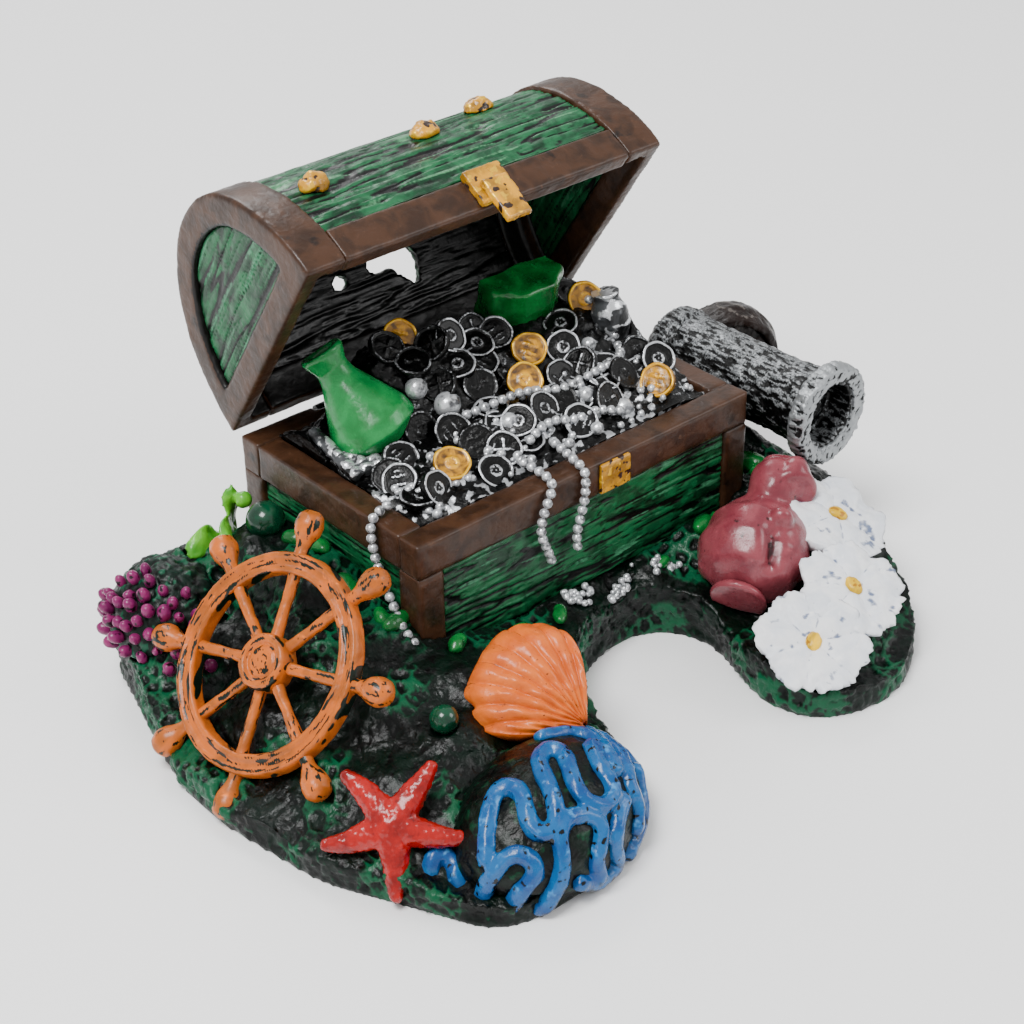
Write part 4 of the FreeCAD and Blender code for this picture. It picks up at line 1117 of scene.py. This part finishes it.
def frond(points, width, ruffle):
    """A wavy leaf along a few points, closed and a little thick."""
    route = spline_points([Vector(p) for p in points], 0.45)
    bm = bmesh.new()
    sections = []
    for k, point in enumerate(route):
        t = k / (len(route) - 1)
        ahead = route[min(k + 1, len(route) - 1)] - route[max(k - 1, 0)]
        side = ahead.cross(Vector((0.3, -0.8, 0.6))).normalized()
        up = side.cross(ahead).normalized()
        belly = 0.35 + math.sin(math.pi * min(1.0, t * 0.9 + 0.1)) * 0.65
        half = width * belly * (1 - smoothstep(0.9, 1.0, t) * 0.7)
        section = []
        for across in (-1.0, -0.5, 0.0, 0.5, 1.0):
            lift = ruffle * abs(across) * math.sin(9 * t + 2.5 * across) - 0.3 * across * across
            section.append(point + side * (across * half) + up * lift)
        section += [p - up * 0.7 for p in reversed(section)]
        sections.append([bm.verts.new(p) for p in section])
    for low, high in zip(sections, sections[1:]):
        band(bm, low, high)
    bm.faces.new(sections[0])
    bm.faces.new(list(reversed(sections[-1])))
    return closed(bm)


def plants():
    """Lime fronds behind the wheel, with small leaves and beads where the chest meets the rock."""
    fronds = []
    for points, width in (
        (((-6, 42, 16), (-9, 40.5, 19), (-12.5, 39.5, 20.5), (-15.5, 39, 19)), 3.0),
        (((-5, 41, 17), (-6.5, 39.5, 20.5), (-8.5, 37.5, 21.8), (-9.5, 35, 20)), 2.8),
        (((-4, 44, 16), (-3.8, 43, 21), (-4.6, 41.5, 24.5), (-4.2, 42, 27.0)), 2.2),
    ):
        fronds.append((frond([at(*p) for p in points], width, 0.7), STILL))
    fronds.append((blob(at(-3.6, 40.5, 24.4), (1.4, 1.4, 1.5)), STILL))
    mesh = carve(remeshed(merge(fronds), 0.32, 2), glossy(0.15, 1.6))
    piece_of("fronds", mesh, "lime", "base", "lime_paint", "seaweed")

    tree = surface("rock_base")
    leaves = []
    for x, y, size, turn in (
        (57.5, -2.6, 1.6, 20), (60.5, -3.4, 1.3, 70), (-2.2, 3.5, 1.5, 10), (-3.0, 6.0, 1.2, 60),
        (72.5, -2.0, 1.7, 80), (74.0, 2.0, 1.9, 100), (73.2, 8.0, 1.5, 60), (-2.4, 22, 1.4, 90),
        (-2.6, 27, 1.6, 120), (4.0, -3.5, 1.3, 30), (16, -4.0, 1.1, 10), (24, -4.4, 1.2, 50),
        (48, -3.0, 1.1, 20), (-3.5, 13.5, 1.4, 80),
    ):
        hit = drop(tree, x + CHEST.x, y + CHEST.y)
        if hit:
            leaf = blob((0, 0, 0.3), (1.9 * size, 1.0 * size, 0.9 * size), (0, 0, turn))
            leaves.append((leaf, facing(hit[0], (hit[1] + Vector((0, 0, 1))).normalized())))
    mesh = carve(remeshed(merge(leaves), 0.3, 2), glossy(0.25, 1.6))
    piece_of("leaves", mesh, "gem", "base", "teal_paint")

    beads = []
    bead = pearl_mesh(0.62)
    for _ in range(900):
        if len(beads) >= 70:
            break
        x, y = random.uniform(26, 54), random.uniform(-4.6, -0.9)
        hit = drop(tree, x + CHEST.x, y + CHEST.y)
        if not hit or hit[1].z < 0.25 or noise(Vector((x / 4.5, y / 3.0, 4.0))) < 0.02:
            continue
        size = Matrix.Scale(random.uniform(0.6, 1.15), 4)
        beads.append((bead, Matrix.Translation(hit[0] + hit[1] * 0.3) @ size))
    piece_of("rock_beads", merge(beads), "pearl", "base", "pearl")
    weathered("glass_balls", "green_pearls", 0.3, glossy(0.03, 2.0), "teal", "base", "teal_paint", 3)


def rock():
    mesh = carve(remeshed(cad_copy("rock_base"), 0.54), rock_relief)
    piece_of("rock", mesh, "rock", "base", "rock_paint", "rock_base")


def air_parts():
    finish("air_tube", "tube")
    finish("air_inlet_nozzle", "tube")
    finish("air_stone", "stone")


# --- stage ---
def stage():
    floor_mesh = bpy.data.meshes.new("floor")
    half = 3.0
    corners = [(-half, -half, 0), (half, -half, 0), (half, half, 0), (-half, half, 0)]
    floor_mesh.from_pydata(corners, [], [(0, 1, 2, 3)])
    floor = link("floor", floor_mesh)
    pale = bpy.data.materials.new("pale_floor")
    pale.use_nodes = True
    shader = pale.node_tree.nodes["Principled BSDF"]
    shader.inputs["Base Color"].default_value = (0.97, 0.97, 0.97, 1)
    shader.inputs["Roughness"].default_value = 0.7
    floor_mesh.materials.append(pale)

    world = bpy.data.worlds.new("studio")
    bpy.context.scene.world = world
    world.use_nodes = True
    world.node_tree.nodes["Background"].inputs["Color"].default_value = (1, 1, 1, 1)
    world.node_tree.nodes["Background"].inputs["Strength"].default_value = 0.85
    for name, at, size, power in (
        ("key", (-0.30, -0.05, 0.60), 0.25, 5.0),
        ("fill", (0.45, -0.45, 0.45), 0.30, 1.6),
        ("back", (0.20, 0.55, 0.55), 0.30, 2.4),
    ):
        light = bpy.data.lights.new(name, "AREA")
        light.size = size
        light.energy = power
        lamp = bpy.data.objects.new(name, light)
        bpy.context.scene.collection.objects.link(lamp)
        lamp.location = at
        aim = Vector((0, 0, 0.03)) - Vector(at)
        lamp.rotation_euler = aim.to_track_quat("-Z", "Y").to_euler()


def camera():
    sine, cosine = math.sin(CAMERA_YAW), math.cos(CAMERA_YAW)
    flat = math.cos(CAMERA_PITCH)
    forward = Vector((sine * flat, cosine * flat, -math.sin(CAMERA_PITCH)))
    level = Vector((cosine, -sine, 0))
    upright = level.cross(forward)
    right = level * math.cos(CAMERA_ROLL) + upright * math.sin(CAMERA_ROLL)
    up = upright * math.cos(CAMERA_ROLL) - level * math.sin(CAMERA_ROLL)
    lens = bpy.data.cameras.new("camera")
    lens.lens = CAMERA_LENS
    lens.sensor_width = 36.0
    lens.clip_start = 0.01
    view = bpy.data.objects.new("camera", lens)
    bpy.context.scene.collection.objects.link(view)
    view.matrix_world = Matrix((right, up, -forward)).transposed().to_4x4()
    view.location = CAMERA_AT
    bpy.context.scene.camera = view


rock()
chest()
lid()
treasure()
cannon()
jug()
wheel()
star()
scallop()
coral()
flowers()
polyps()
plants()
air_parts()
stage()
camera()
